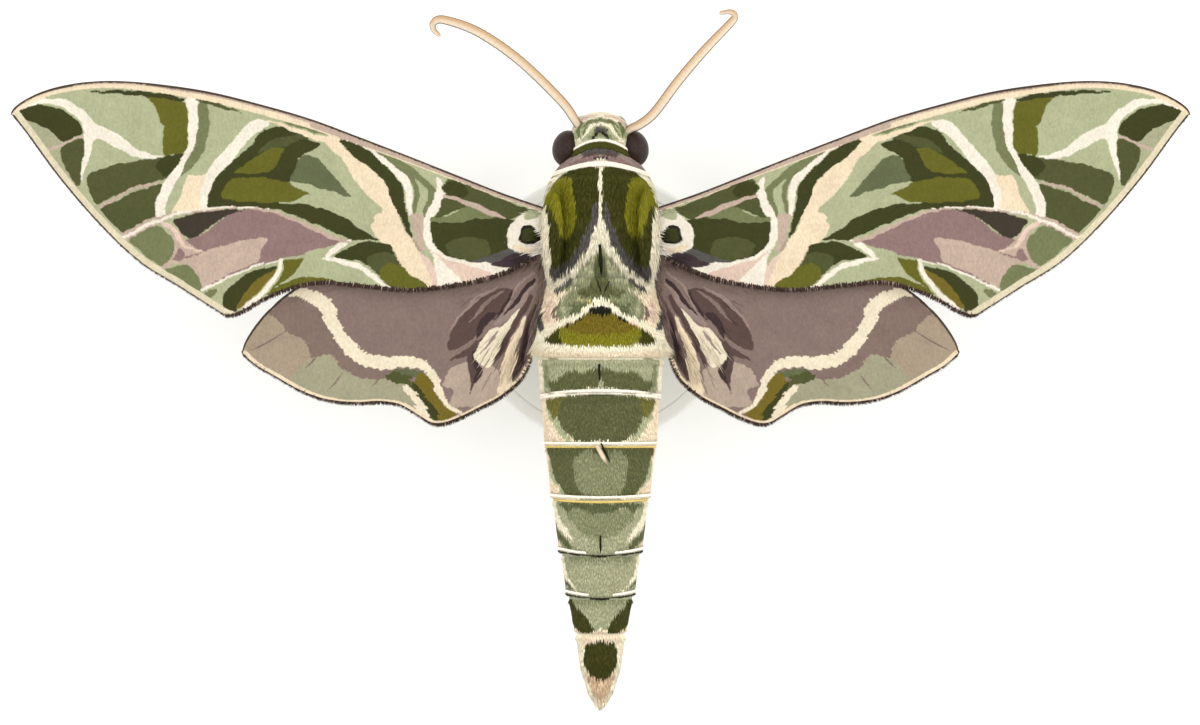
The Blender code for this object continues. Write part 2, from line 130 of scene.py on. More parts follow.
# Forewing marks, root to tip and front to back: a patch lists (out, aft), a band (out, aft, width)
FOREWING_MARKS = [
    ("pale_sage", [(53.8, -17.6), (51.5, -14.4), (48.3, -10.0), (44.9, -6.2), (47.4, -9.4), (48.8, -11.0),
        (50.2, -13.4), (50.3, -15.1), (52.0, -16.8)]),
    ("cream", [(54.6, -18.1), (53.0, -18.95), (51.0, -19.25), (49.5, -19.0), (48.3, -18.2), (47.3, -17.2),
        (46.8, -16.7), (45.5, -16.2), (44.6, -15.6), (43.8, -14.9), (42.8, -14.3), (41.6, -13.95),
        (40.4, -13.95), (42.5, -13.6), (44.0, -14.1), (45.4, -14.8), (46.3, -15.3), (47.1, -15.4),
        (47.4, -14.6), (47.8, -13.3), (48.2, -12.2), (48.65, -11.0), (48.5, -12.5), (48.2, -14.0),
        (48.1, -15.4), (48.2, -16.2), (48.6, -17.2), (49.5, -18.0), (50.7, -18.6), (52.0, -18.8)]),
    ("deep_moss", [(54.5, -17.95), (53.6, -18.4), (52.2, -18.65), (50.6, -18.3), (49.3, -17.6),
        (48.5, -16.7), (48.3, -15.95), (49.0, -15.6), (50.1, -15.25), (51.0, -15.9), (51.7, -16.5),
        (52.7, -16.9), (53.8, -17.35)]),
    ("moss", [(48.2, -15.5), (49.2, -15.25), (50.2, -14.8), (50.25, -13.9), (50.0, -12.9), (49.5, -12.0),
        (48.7, -11.0), (48.45, -12.2), (48.25, -13.6), (48.15, -14.8)]),
    ("pink_beige", [(51.8, -14.2, 0.3), (50.2, -15.0, 0.25), (48.3, -15.7, 0.2)]),
    ("moss", [(47.9, -11.6), (47.7, -12.1), (46.5, -12.7), (45.0, -13.1), (43.0, -13.45), (41.0, -13.75),
        (39.8, -13.95), (38.8, -14.25), (38.8, -13.6), (39.4, -12.8), (40.4, -11.7), (41.6, -11.45),
        (43.5, -10.9), (45.5, -10.1), (46.8, -9.3), (47.4, -10.1), (47.85, -11.0)]),
    ("deep_moss", [(41.5, -13.1), (40.8, -13.75), (39.8, -13.95), (38.8, -14.25), (38.8, -13.6),
        (39.4, -12.8), (40.3, -11.9), (41.0, -12.3)]),
    ("pale_sage", [(47.3, -8.95, 0.3), (45.5, -9.85, 0.28), (43.5, -10.65, 0.26), (41.5, -11.35, 0.26),
        (40.3, -11.65, 0.22)]),
    ("moss", [(46.6, -9.0), (45.3, -9.6), (43.6, -10.4), (42.0, -11.0), (41.0, -11.2), (40.75, -10.8),
        (41.2, -9.7), (41.45, -8.9), (41.5, -8.1), (42.8, -7.5), (43.8, -6.9), (44.5, -6.6), (45.2, -7.2),
        (46.0, -8.1)]),
    ("olive", [(42.4, -19.45), (41.2, -19.4), (39.7, -19.2), (38.8, -18.9), (38.6, -18.2), (38.5, -17.4),
        (38.45, -16.5), (38.5, -15.2), (38.8, -14.25), (39.8, -14.05), (40.6, -13.95), (40.75, -15.0),
        (40.8, -16.2), (40.65, -16.65), (41.0, -17.0), (41.3, -18.0), (41.8, -18.9)]),
    ("deep_moss", [(47.6, -19.85, 0.14), (45.0, -19.85, 0.3), (42.5, -19.65, 0.45), (40.3, -19.4, 0.5),
        (38.8, -19.1, 0.2)]),
    ("cream", [(38.05, -19.0, 1.2), (38.0, -18.0, 0.95), (37.95, -16.5, 0.9), (38.0, -15.2, 0.85),
        (38.4, -13.9, 0.85), (39.2, -12.7, 0.85), (40.1, -11.4, 0.9), (40.7, -10.3, 0.9),
        (41.0, -9.2, 0.95), (41.05, -8.2, 0.9)]),
    ("mid_green", [(37.2, -19.0, 0.5), (37.05, -18.3, 0.95), (37.0, -17.0, 1.05), (37.1, -15.8, 1.0),
        (37.5, -14.4, 0.95), (38.2, -13.2, 0.85), (39.1, -12.1, 0.2)]),
    ("moss", [(37.7, -19.1, 0.1), (36.4, -18.85, 0.4), (34.9, -18.35, 0.3), (33.4, -17.9, 0.05)]),
    ("sage", [(39.1, -11.9), (38.4, -12.0), (38.7, -10.9), (39.4, -9.6), (39.8, -8.6), (40.5, -8.3),
        (40.3, -9.5), (39.9, -10.4), (39.5, -11.2)]),
    ("peach", [(38.5, -11.95), (37.2, -12.1), (36.4, -12.4), (35.8, -11.4), (36.4, -10.2), (36.5, -9.0),
        (38.0, -8.8), (39.9, -8.4), (39.5, -9.4), (38.9, -10.7)]),
    ("cream", [(31.2, -17.0, 0.5), (32.2, -16.6, 1.2), (33.1, -15.9, 1.1), (33.9, -14.9, 1.1),
        (34.8, -13.8, 1.1), (35.8, -12.7, 1.1), (36.5, -11.4, 1.0), (36.9, -10.0, 0.9), (36.9, -9.0, 0.7)]),
    ("deep_moss", [(36.5, -9.05), (36.55, -9.8), (36.4, -10.6), (36.0, -11.6), (35.3, -12.4), (34.3, -13.4),
        (33.3, -14.2), (32.4, -15.1), (31.9, -15.8), (31.3, -16.35), (30.3, -16.6), (29.3, -16.5),
        (28.2, -15.95), (27.2, -15.4), (26.2, -15.1), (26.6, -14.6), (27.6, -14.1), (28.2, -13.5),
        (28.5, -12.6), (28.9, -11.6), (29.2, -10.6), (30.0, -9.5), (28.5, -9.45), (27.0, -9.25),
        (25.5, -8.8), (24.0, -8.2), (23.0, -7.5), (22.0, -6.8), (21.2, -6.35), (20.6, -6.1), (22.6, -6.05),
        (23.5, -6.2), (24.5, -6.6), (25.5, -7.1), (27.0, -7.7), (28.2, -8.2), (29.5, -8.7), (31.0, -9.0),
        (33.5, -9.1)]),
    ("moss", [(32.0, -14.2), (30.9, -15.2), (29.5, -15.7), (28.0, -15.85), (27.2, -15.6), (28.5, -15.2),
        (29.3, -14.8), (30.4, -14.6)]),
    ("olive", [(34.2, -12.3), (33.3, -12.9), (32.3, -13.7), (31.2, -14.4), (30.4, -14.6), (29.4, -14.6),
        (29.8, -14.1), (30.1, -13.3), (30.6, -12.6), (31.3, -12.3), (32.5, -12.25)]),
    ("olive", [(35.4, -10.2), (35.1, -10.9), (34.5, -11.6), (33.3, -11.85), (31.8, -11.9), (30.5, -11.7),
        (29.2, -11.4), (28.4, -11.0), (27.7, -10.6), (27.1, -10.35), (27.8, -10.1), (28.7, -9.7),
        (30.0, -9.55), (32.0, -9.55), (33.8, -9.65), (34.9, -9.85)]),
    ("grey_moss", [(27.3, -14.0), (26.5, -13.7), (25.5, -12.8), (24.7, -11.8), (24.0, -10.9),
        (23.3, -10.05), (24.5, -10.4), (26.0, -10.85), (27.5, -11.3), (28.8, -11.6), (28.6, -12.4),
        (28.3, -13.2), (27.8, -13.9)]),
    ("mid_green", [(29.4, -17.0, 0.1), (28.0, -16.75, 0.45), (26.6, -16.35, 0.55), (25.2, -16.0, 0.3),
        (24.2, -15.8, 0.1)]),
    ("peach", [(26.0, -15.75), (25.0, -15.9), (24.3, -15.6), (24.1, -15.0), (23.6, -14.3), (22.4, -13.4),
        (21.4, -12.7), (20.6, -11.9), (19.9, -10.9), (19.5, -9.8), (19.0, -8.6), (18.5, -7.4), (17.8, -6.4),
        (17.3, -5.7), (16.9, -4.9), (16.2, -3.8), (15.5, -2.7), (15.3, -1.3), (16.3, -1.3), (16.2, -1.7),
        (17.1, -2.5), (17.9, -2.9), (18.7, -4.0), (19.1, -4.8), (19.6, -5.4), (20.6, -6.0), (21.2, -6.7),
        (21.4, -7.3), (21.0, -7.8), (21.1, -8.2), (20.3, -8.8), (20.9, -9.4), (21.5, -10.0), (22.4, -11.0),
        (23.3, -12.3), (24.0, -13.4), (25.0, -14.4), (25.8, -15.1), (28.0, -15.9), (30.4, -16.9),
        (31.0, -17.3)]),
    ("deep_moss", [(24.3, -15.4), (24.0, -14.9), (23.3, -14.1), (22.2, -13.2), (21.2, -12.5), (20.5, -11.8),
        (19.9, -10.9), (19.5, -9.8), (18.9, -8.4), (18.4, -7.5), (17.9, -6.6), (17.35, -6.05), (17.8, -7.2),
        (18.0, -8.2), (18.2, -9.2), (18.35, -10.2), (18.5, -11.1), (18.8, -11.6), (19.2, -12.1),
        (19.8, -12.7), (20.4, -13.4), (21.3, -14.1), (22.0, -14.6), (22.7, -15.1), (23.4, -15.45)]),
    ("cream", [(22.3, -15.0, 0.2), (21.2, -14.3, 0.35), (20.0, -13.3, 0.5), (19.0, -12.5, 0.75),
        (18.2, -11.6, 0.8), (17.9, -10.4, 0.65), (17.8, -9.3, 0.5), (17.75, -8.5, 0.4)]),
    ("mid_green", [(21.4, -14.6, 0.1), (20.0, -13.95, 0.5), (18.6, -13.0, 0.85), (17.2, -12.1, 0.6),
        (16.0, -11.2, 0.35), (15.2, -10.5, 0.1)]),
    ("mid_green", [(18.0, -12.3, 0.2), (17.35, -11.3, 0.5), (17.2, -10.2, 0.5), (17.4, -8.6, 0.35)]),
    ("mid_green", [(16.9, -11.7, 0.2), (15.9, -11.0, 0.6), (15.8, -10.0, 0.65), (16.2, -9.1, 0.5),
        (16.4, -8.2, 0.25)]),
    ("pink_beige", [(17.7, -8.5), (16.5, -8.3), (16.5, -7.0), (16.6, -6.0), (16.3, -5.2), (16.8, -5.2),
        (17.2, -6.2), (17.6, -7.4)]),
    ("tan", [(17.55, -6.3, 0.1), (17.15, -5.5, 0.3), (16.75, -4.7, 0.1)]),
    ("cream", [(14.9, -11.7), (15.4, -11.8), (15.2, -10.9), (15.5, -10.2), (15.9, -9.2), (16.3, -8.4),
        (16.6, -7.3), (16.5, -6.3), (16.1, -5.4), (15.7, -4.6), (15.5, -3.0), (15.4, -1.0), (11.0, -1.3),
        (5.0, -3.2), (4.8, -4.0), (7.4, -3.5), (9.0, -3.65), (10.5, -4.0), (12.5, -4.2), (14.2, -4.7),
        (15.3, -5.4), (15.8, -6.5), (15.9, -7.6), (15.3, -8.6), (14.8, -9.6), (14.5, -10.3),
        (14.8, -11.0)]),
    ("pink", [(15.9, -5.2), (15.2, -4.7), (14.0, -4.1), (12.6, -3.8), (11.4, -3.4), (10.0, -2.9),
        (11.2, -2.35), (12.6, -2.05), (13.3, -2.6), (14.2, -3.5), (15.0, -4.3)]),
    ("pink", [(16.9, -4.9, 0.2), (16.2, -4.0, 0.5), (15.6, -2.8, 0.6), (15.4, -1.4, 0.5)]),
    ("moss", [(14.7, -11.3), (14.2, -11.8), (13.0, -11.6), (11.5, -11.0), (10.0, -10.2), (8.5, -9.6),
        (6.9, -9.0), (7.1, -8.7), (8.0, -8.2), (9.0, -8.0), (12.0, -8.3), (13.8, -9.4), (14.4, -10.3),
        (14.8, -10.9)]),
    ("deep_moss", [(14.6, -11.3), (14.0, -11.6), (12.9, -11.3), (12.4, -10.6), (12.9, -10.0), (14.0, -10.3),
        (14.6, -10.8)]),
    ("moss", [(14.7, -10.0), (13.8, -9.9), (12.6, -9.3), (13.4, -8.9), (14.4, -8.4), (15.4, -8.1),
        (15.2, -8.7)]),
    ("mid_green", [(15.7, -8.2), (14.6, -8.2), (13.8, -8.5), (12.9, -9.1), (12.2, -9.2), (10.6, -8.5),
        (9.9, -8.15), (12.0, -7.9), (13.0, -7.6), (14.0, -7.5), (15.0, -7.6), (15.8, -7.8)]),
    ("deep_moss", [(15.8, -7.8), (14.5, -7.65), (13.0, -7.75), (11.5, -8.05), (9.5, -8.05), (8.0, -7.95),
        (8.6, -7.2), (8.8, -6.4), (8.7, -5.6), (8.5, -5.15), (9.6, -4.7), (10.5, -4.3), (11.5, -4.1),
        (12.7, -4.15), (14.0, -4.5), (15.2, -5.2), (15.8, -6.3), (15.85, -7.2)]),
    ("moss", [(14.4, -5.6), (13.7, -6.15), (12.5, -6.3), (11.2, -6.25), (10.5, -5.8), (10.3, -4.9),
        (10.6, -4.4), (11.8, -4.15), (13.0, -4.3), (14.0, -4.7)]),
    ("pink_beige", [(14.6, -10.2, 0.25), (13.0, -9.75, 0.35), (11.5, -9.15, 0.5), (10.0, -8.5, 0.45),
        (8.9, -8.1, 0.1)]),
    ("grey", [(12.2, -4.05), (10.6, -4.5), (9.6, -4.9), (8.6, -5.25), (7.6, -5.0), (8.8, -4.3),
        (9.8, -3.95)]),
    ("plum", [(10.3, -3.9), (9.3, -4.2), (8.6, -4.6), (7.5, -4.9), (6.5, -4.9), (5.6, -4.5), (4.8, -4.3),
        (5.6, -3.6), (7.3, -3.4), (8.6, -3.45), (9.6, -3.6)]),
    ("cream", [(6.2, -9.3), (7.2, -8.6), (8.0, -7.9), (8.6, -7.2), (8.75, -6.2), (8.6, -5.4), (8.0, -5.0),
        (7.0, -4.9), (6.4, -4.65), (5.0, -4.6), (4.4, -6.5), (4.8, -9.0)]),
    ("sage", [(6.6, -9.0), (7.2, -8.4), (7.0, -7.9), (6.3, -8.1), (5.7, -8.4), (5.8, -8.9)]),
    ("peach", [(8.1, -5.4, 0.3), (7.4, -5.25, 0.5), (6.3, -5.1, 0.3)]),
    ("black", [(6.6, -7.5), (7.2, -7.3), (7.5, -6.6), (7.65, -5.95), (6.8, -5.75), (5.7, -5.9), (5.6, -6.6),
        (6.2, -7.2)]),
    ("deep_moss", [(6.6, -7.25), (7.1, -7.05), (7.3, -6.5), (7.35, -6.1), (6.8, -5.95), (6.0, -6.1),
        (5.9, -6.6), (6.3, -7.05)]),
    ("deep_moss", [(24.8, -4.45), (24.0, -5.1), (23.0, -5.6), (21.8, -5.9), (20.7, -5.85), (19.7, -5.6),
        (19.3, -5.0), (18.9, -4.2), (18.4, -3.4), (17.8, -2.8), (16.9, -2.4), (16.3, -1.8), (16.6, -1.5),
        (18.0, -1.45), (19.3, -1.6), (19.9, -1.95), (20.7, -2.7), (21.6, -3.6), (22.6, -4.1),
        (23.8, -4.3)]),
    ("moss", [(21.8, -4.5), (20.6, -4.9), (19.2, -4.7), (18.7, -3.8), (18.3, -3.2), (20.6, -2.9),
        (21.6, -3.7)]),
    ("olive", [(20.4, -3.5), (19.5, -3.9), (18.6, -3.6), (17.8, -2.8), (16.9, -2.4), (16.3, -1.8),
        (16.6, -1.5), (18.0, -1.45), (19.3, -1.6), (19.9, -1.95), (20.6, -2.7)]),
    ("cream", [(23.3, -6.05, 0.15), (24.6, -5.3, 0.55), (25.5, -4.55, 0.4)]),
    ("cream", [(25.9, -4.35, 0.15), (24.6, -4.15, 0.4), (23.2, -3.8, 0.45), (22.0, -3.3, 0.45),
        (21.0, -2.5, 0.45), (20.1, -1.75, 0.45), (18.4, -1.2, 0.35), (16.4, -1.15, 0.3)]),
    ("olive", [(31.2, -1.0), (29.5, -2.0), (28.4, -2.5), (27.2, -2.6), (26.0, -2.55), (24.8, -2.2),
        (23.6, -1.75), (25.0, -1.6), (26.5, -1.5), (28.0, -1.4), (29.6, -1.1)]),
    ("olive", [(29.6, -4.1), (28.7, -4.25), (27.8, -4.4), (28.1, -3.6), (28.6, -3.0), (29.5, -2.3),
        (30.7, -1.3), (30.3, -2.0), (29.8, -2.8), (29.5, -3.6)]),
    ("mauve", [(38.3, -6.2), (37.6, -6.4), (36.5, -7.0), (35.4, -7.9), (34.0, -8.7), (32.5, -8.9),
        (31.0, -8.7), (29.8, -8.3), (28.2, -7.7), (26.5, -6.9), (25.2, -6.3), (24.2, -5.85), (26.0, -5.3),
        (28.0, -4.8), (30.0, -4.3), (31.8, -3.95), (31.9, -4.3), (31.6, -5.2), (31.2, -6.1), (32.0, -6.25),
        (33.5, -5.95), (35.0, -5.6), (36.8, -5.1), (37.6, -5.3), (38.6, -5.9)]),
    ("pink_beige", [(38.6, -5.9), (37.6, -5.3), (36.8, -5.1), (35.0, -5.6), (33.5, -5.95), (32.0, -6.25),
        (31.15, -6.1), (31.6, -5.0), (31.9, -4.0), (33.0, -3.6), (34.5, -2.95), (36.0, -2.2), (37.1, -1.5),
        (37.3, -2.3), (37.8, -3.0), (38.5, -3.6), (39.7, -3.9), (40.6, -3.9), (40.0, -5.0), (39.8, -6.2),
        (40.4, -7.2), (39.2, -6.8)]),
    ("dark_brown", [(39.9, -7.8), (38.6, -8.3), (37.0, -8.65), (35.0, -8.85), (32.8, -8.95), (33.9, -8.7),
        (34.8, -8.3), (35.9, -7.7), (36.8, -7.0), (37.6, -6.4), (38.3, -6.2), (39.0, -6.6), (39.5, -7.3)]),
    ("pink", [(40.8, -7.6, 0.35), (39.7, -6.9, 0.45), (39.1, -6.0, 0.4), (38.5, -5.3, 0.25),
        (37.0, -5.1, 0.1)]),
    ("mauve", [(40.0, -4.0), (39.3, -5.3), (38.8, -4.8), (38.9, -4.35)]),
    ("mauve", [(39.4, -4.15, 0.12), (38.0, -4.6, 0.14), (36.6, -5.2, 0.12)]),
    ("mid_green", [(44.0, -6.1), (43.0, -6.7), (42.0, -7.2), (41.1, -7.35), (40.4, -6.7), (39.8, -6.1),
        (39.75, -5.3), (40.1, -4.5), (40.9, -3.6), (42.0, -4.3), (43.0, -5.1)]),
    ("mid_green", [(40.8, -3.15), (39.9, -3.5), (38.9, -3.7), (38.2, -3.5), (37.6, -2.8), (37.3, -2.2),
        (37.2, -1.7), (37.5, -1.25), (38.5, -1.8), (39.7, -2.5)]),
    ("sage", [(37.2, -0.9), (36.4, -1.7), (35.0, -2.2), (34.2, -1.6), (34.8, -0.6), (35.4, 0.1),
        (36.2, -0.2)]),
    ("mid_green", [(37.0, -1.0), (36.2, -1.5), (35.7, -1.4), (36.3, -0.75)]),
    ("deep_moss", [(35.3, -0.2), (35.1, -0.9), (34.6, -1.6), (33.9, -2.3), (33.0, -2.9), (31.8, -3.3),
        (30.7, -3.6), (30.2, -3.6), (30.4, -3.1), (31.0, -2.4), (31.8, -1.6), (32.8, -0.7), (33.7, 0.3),
        (34.5, 0.65), (35.1, 0.3)]),
    ("ochre", [(34.0, 0.3), (33.6, -0.4), (33.1, -1.2), (32.3, -2.1), (31.4, -2.8), (30.4, -3.3),
        (30.5, -2.9), (31.1, -2.1), (31.9, -1.3), (32.7, -0.5), (33.4, 0.25)]),
    ("cream", [(29.7, -4.1, 0.35), (30.1, -3.0, 0.4), (30.8, -2.0, 0.42), (31.7, -1.0, 0.45),
        (32.6, -0.2, 0.4), (33.4, 0.5, 0.3)]),
    ("cream", [(37.2, -1.35, 0.25), (35.5, -2.2, 0.3), (33.5, -3.15, 0.3), (31.5, -3.9, 0.3),
        (29.7, -4.2, 0.15)]),
    ("mauve", [(36.4, -1.95, 0.08), (34.5, -2.85, 0.16), (32.5, -3.7, 0.16), (30.0, -4.3, 0.14),
        (27.5, -4.85, 0.1)]),
    ("pink_beige", [(45.4, -5.9, 0.7), (43.5, -6.85, 0.75), (42.0, -7.6, 0.75), (40.3, -8.25, 0.5),
        (38.5, -8.65, 0.3), (34.5, -9.05, 0.22), (32.5, -9.0, 0.25), (30.8, -8.75, 0.28), (29.0, -8.1, 0.3),
        (27.6, -7.5, 0.35), (26.0, -6.75, 0.45), (24.4, -6.05, 0.35), (23.2, -5.85, 0.1)]),
    ("cream", [(45.6, -5.8, 0.2), (43.5, -6.8, 0.3), (42.0, -7.55, 0.3), (40.3, -8.2, 0.3),
        (38.5, -8.72, 0.2), (36.5, -9.0, 0.2), (34.0, -9.12, 0.14), (31.0, -8.95, 0.1)]),
    ("pink_beige", [(41.4, -3.2, 0.2), (40.3, -3.75, 0.3), (39.7, -4.1, 0.2)]),
    ("pink_beige", [(40.8, -11.4, 0.1), (42.5, -11.15, 0.22), (44.2, -10.5, 0.25), (46.6, -9.1, 0.3)]),
]


# The bright strip along the forewing's front edge: how far in it reaches at each distance out
COSTAL_STRIP = [(6.0, 0.5), (14.0, 0.62), (20.0, 0.75), (27.0, 0.95), (32.0, 1.05), (40.0, 0.95),
                (46.0, 0.75), (52.0, 0.65), (55.0, 0.6)]
# How wide the forewing's bright outer margin is, its cream rear strip, and the dark rim of both wings
OUTER_STRIP, REAR_STRIP, RIM = 0.8, 0.32, 0.24
FOREWING_VEINS = [
    [(6.0, -7.6), (14.0, -10.6), (24.0, -14.2), (34.0, -17.4), (42.0, -19.5), (47.0, -20.3)],
    [(7.0, -6.8), (16.0, -9.6), (26.0, -12.2), (34.0, -14.4), (44.0, -17.4), (51.0, -19.2)],
    [(26.0, -12.2), (36.0, -13.8), (46.0, -15.4), (53.4, -17.4)],
    [(27.0, -11.6), (36.0, -12.8), (44.0, -13.8), (51.8, -14.2)],
    [(27.0, -10.6), (35.0, -11.2), (42.0, -11.2), (49.4, -11.0)],
    [(26.0, -9.6), (33.0, -10.0), (41.5, -11.35), (45.5, -9.85), (47.3, -8.95)],
    [(8.0, -6.0), (18.0, -7.6), (27.0, -7.4), (34.0, -9.05), (40.3, -8.2), (45.6, -5.8)],
    [(23.0, -6.0), (30.0, -6.0), (36.0, -5.0), (41.4, -3.2)],
    [(6.5, -5.2), (16.0, -4.2), (25.0, -4.9), (31.5, -3.9), (37.2, -1.35)],
]

HINDWING_MARKS = [
    ("tan", [(31.6, 0.2), (32.6, 1.6), (33.5, 4.4), (31.0, 6.4), (27.0, 9.2), (24.0, 8.0), (25.0, 4.0),
        (29.0, 1.0)]),
    ("sage_tan", [(29.4, 7.6), (28.2, 5.9), (27.2, 5.0), (25.9, 4.6), (24.4, 5.6), (22.5, 6.6), (20.3, 6.8),
        (18.6, 7.2), (17.5, 8.6), (17.2, 9.6), (20.0, 9.8), (24.0, 9.8), (28.0, 8.9)]),
    ("brown_shade", [(31.0, 0.7), (30.3, 0.2), (29.3, -0.7), (28.6, -1.0), (27.2, 0.0), (26.0, 0.4),
        (25.8, 1.5), (25.1, 2.6), (24.5, 3.6), (23.6, 4.6), (23.0, 5.3), (21.7, 5.7), (20.8, 6.2),
        (20.1, 6.7), (20.9, 6.95), (22.0, 6.9), (23.3, 6.5), (24.4, 5.8), (25.0, 4.9), (25.9, 4.65),
        (26.9, 4.9), (27.3, 4.5), (27.4, 3.9), (27.9, 3.2), (28.8, 2.8), (29.6, 2.5), (29.7, 1.9),
        (30.5, 1.1)]),
    ("ivory", [(29.2, -1.2, 0.7), (27.7, -1.1, 0.95), (26.4, -0.5, 1.3), (25.5, 0.4, 1.4), (25.2, 1.4, 1.3),
        (24.7, 2.4, 1.2), (24.0, 3.4, 1.15), (23.1, 4.4, 1.2), (22.0, 5.1, 1.2), (20.6, 5.4, 1.25),
        (19.2, 5.35, 1.1), (17.9, 5.3, 1.0), (16.8, 5.6, 0.95), (16.0, 6.2, 0.85), (15.5, 7.1, 0.65),
        (15.1, 8.1, 0.55), (14.6, 9.0, 0.5), (14.0, 9.7, 0.45), (13.0, 10.2, 0.3)]),
    ("moss", [(20.1, 6.7), (19.4, 6.2), (18.4, 6.0), (17.3, 6.4), (17.8, 6.9), (17.1, 7.6), (16.5, 8.2),
        (16.2, 9.2), (15.7, 10.2), (15.4, 11.0), (16.1, 10.6), (16.6, 9.6), (17.0, 8.8), (17.6, 8.0),
        (18.2, 7.4), (18.9, 7.4), (19.5, 7.2)]),
    ("grey_moss", [(19.2, 6.2), (18.0, 5.95), (16.9, 6.3), (16.4, 6.5), (17.2, 6.75), (18.2, 6.5)]),
    ("deep_moss", [(17.4, 7.0), (16.7, 7.6), (16.0, 8.6), (15.4, 9.6), (14.9, 10.8), (15.8, 10.6),
        (16.4, 9.5), (17.0, 8.6), (17.5, 7.8)]),
    ("ochre", [(17.5, 7.1), (16.9, 6.4), (16.1, 6.75), (15.6, 7.8), (15.1, 8.8), (14.5, 9.6), (13.6, 10.2),
        (14.9, 10.9), (15.4, 10.0), (16.05, 9.0), (16.65, 8.2), (17.1, 7.5)]),
    ("ivory", [(18.3, 7.7, 0.5), (17.6, 8.5, 0.7), (17.0, 9.4, 0.8), (16.4, 10.4, 0.7)]),
    ("pale_pink", [(14.8, 7.5), (14.4, 6.5), (13.9, 5.9), (13.2, 5.5), (12.6, 5.3), (12.2, 5.6),
        (10.5, 5.6), (9.5, 6.4), (9.5, 8.3), (10.4, 9.0), (11.5, 9.4), (13.0, 9.6), (13.8, 9.5),
        (14.1, 9.0), (13.8, 8.2), (13.9, 7.8), (14.4, 7.75)]),
    ("shade", [(14.3, 4.2), (14.2, 3.2), (14.0, 2.4), (13.6, 1.6), (12.6, 0.5), (11.4, -0.6), (10.2, -1.2),
        (9.0, -1.6), (8.0, -1.2), (9.0, 0.2), (10.0, 1.2), (11.2, 2.4), (12.2, 3.2), (13.0, 3.9),
        (13.6, 4.2)]),
    ("dust", [(14.1, 2.2, 0.1), (13.3, 1.2, 0.22), (12.3, 0.1, 0.3), (11.0, -1.0, 0.25), (9.6, -1.7, 0.1)]),
    ("brown", [(9.0, -1.4, 0.1), (10.2, -0.6, 0.4), (11.3, 0.4, 0.35), (12.2, 1.6, 0.1)]),
    ("umber", [(11.6, 3.1, 0.15), (11.2, 2.1, 0.7), (10.6, 1.2, 0.8), (9.9, 0.8, 0.2)]),
    ("shade", [(14.2, 5.2, 0.1), (12.9, 4.6, 0.45), (11.8, 4.0, 0.7), (10.8, 3.1, 0.4)]),
    ("shade", [(11.7, 3.4, 0.3), (12.1, 4.6, 0.6), (12.2, 5.6, 0.6), (11.9, 6.6, 0.65), (12.0, 7.4, 0.3),
        (12.3, 8.4, 0.06)]),
    ("umber", [(11.9, 4.4, 0.2), (11.7, 5.6, 0.5), (11.4, 6.3, 0.6), (11.8, 7.3, 0.2)]),
    ("umber", [(9.0, 0.8, 0.15), (8.2, 0.2, 0.55), (7.4, -0.8, 0.6), (6.8, -1.7, 0.45), (6.2, -2.4, 0.2)]),
    ("umber", [(10.0, 1.4, 0.1), (9.2, 0.4, 0.25), (8.5, -0.9, 0.25), (8.2, -1.5, 0.1)]),
    ("dust", [(9.7, 1.5, 0.1), (8.8, 0.3, 0.14), (8.3, -0.9, 0.16), (7.4, -2.2, 0.25), (6.2, -3.0, 0.2)]),
    ("dust", [(9.9, 1.8, 0.3), (8.6, 0.9, 0.5), (7.5, -0.1, 0.5), (6.8, -1.2, 0.35), (6.2, -2.0, 0.2)]),
    ("ivory", [(11.75, 5.2), (11.7, 4.4), (11.3, 3.5), (10.6, 2.7), (10.2, 2.2), (9.2, 1.9), (8.4, 1.6),
        (8.9, 2.9), (9.4, 3.9), (9.8, 4.7), (10.2, 5.6), (10.6, 5.8), (11.0, 5.7)]),
    ("ivory", [(8.9, 2.1, 0.7), (8.2, 1.2, 0.35), (7.5, 0.4, 0.1)]),
    ("dust", [(11.2, 4.6, 0.1), (10.2, 3.2, 0.25), (9.6, 2.5, 0.2)]),
    ("shade", [(10.0, 5.5, 0.1), (9.2, 4.2, 0.5), (8.7, 3.0, 0.5), (8.0, 1.8, 0.45), (7.2, 0.4, 0.5),
        (6.5, -0.8, 0.4)]),
    ("peach", [(9.6, 8.2), (8.4, 8.0), (8.2, 6.8), (8.0, 5.6), (7.9, 4.4), (7.6, 3.2), (7.2, 2.0),
        (6.9, 1.0), (7.2, 1.2), (7.9, 2.4), (8.6, 3.6), (9.0, 4.6), (9.3, 6.0), (9.5, 7.2)]),
    ("shade", [(8.3, 7.2, 0.1), (7.8, 6.0, 0.6), (7.4, 5.0, 0.7), (7.15, 3.8, 0.6), (6.9, 2.6, 0.5),
        (6.6, 1.2, 0.5), (6.2, 0.0, 0.3)]),
    ("umber", [(7.5, 5.4, 0.2), (7.2, 4.2, 0.45), (6.95, 2.9, 0.35), (6.6, 1.6, 0.1)]),
]
# Faint folds of the hindwing, from outer to inner end
HINDWING_FOLDS = [((22.8, 2.3), (18.0, -0.4)), ((18.1, 4.25), (14.5, 0.5)), ((32.7, 4.25), (29.4, 2.4)),
                  ((27.7, 5.9), (26.4, 4.6)), ((25.6, 8.1), (24.1, 6.2)), ((21.5, 7.7), (20.2, 6.2))]
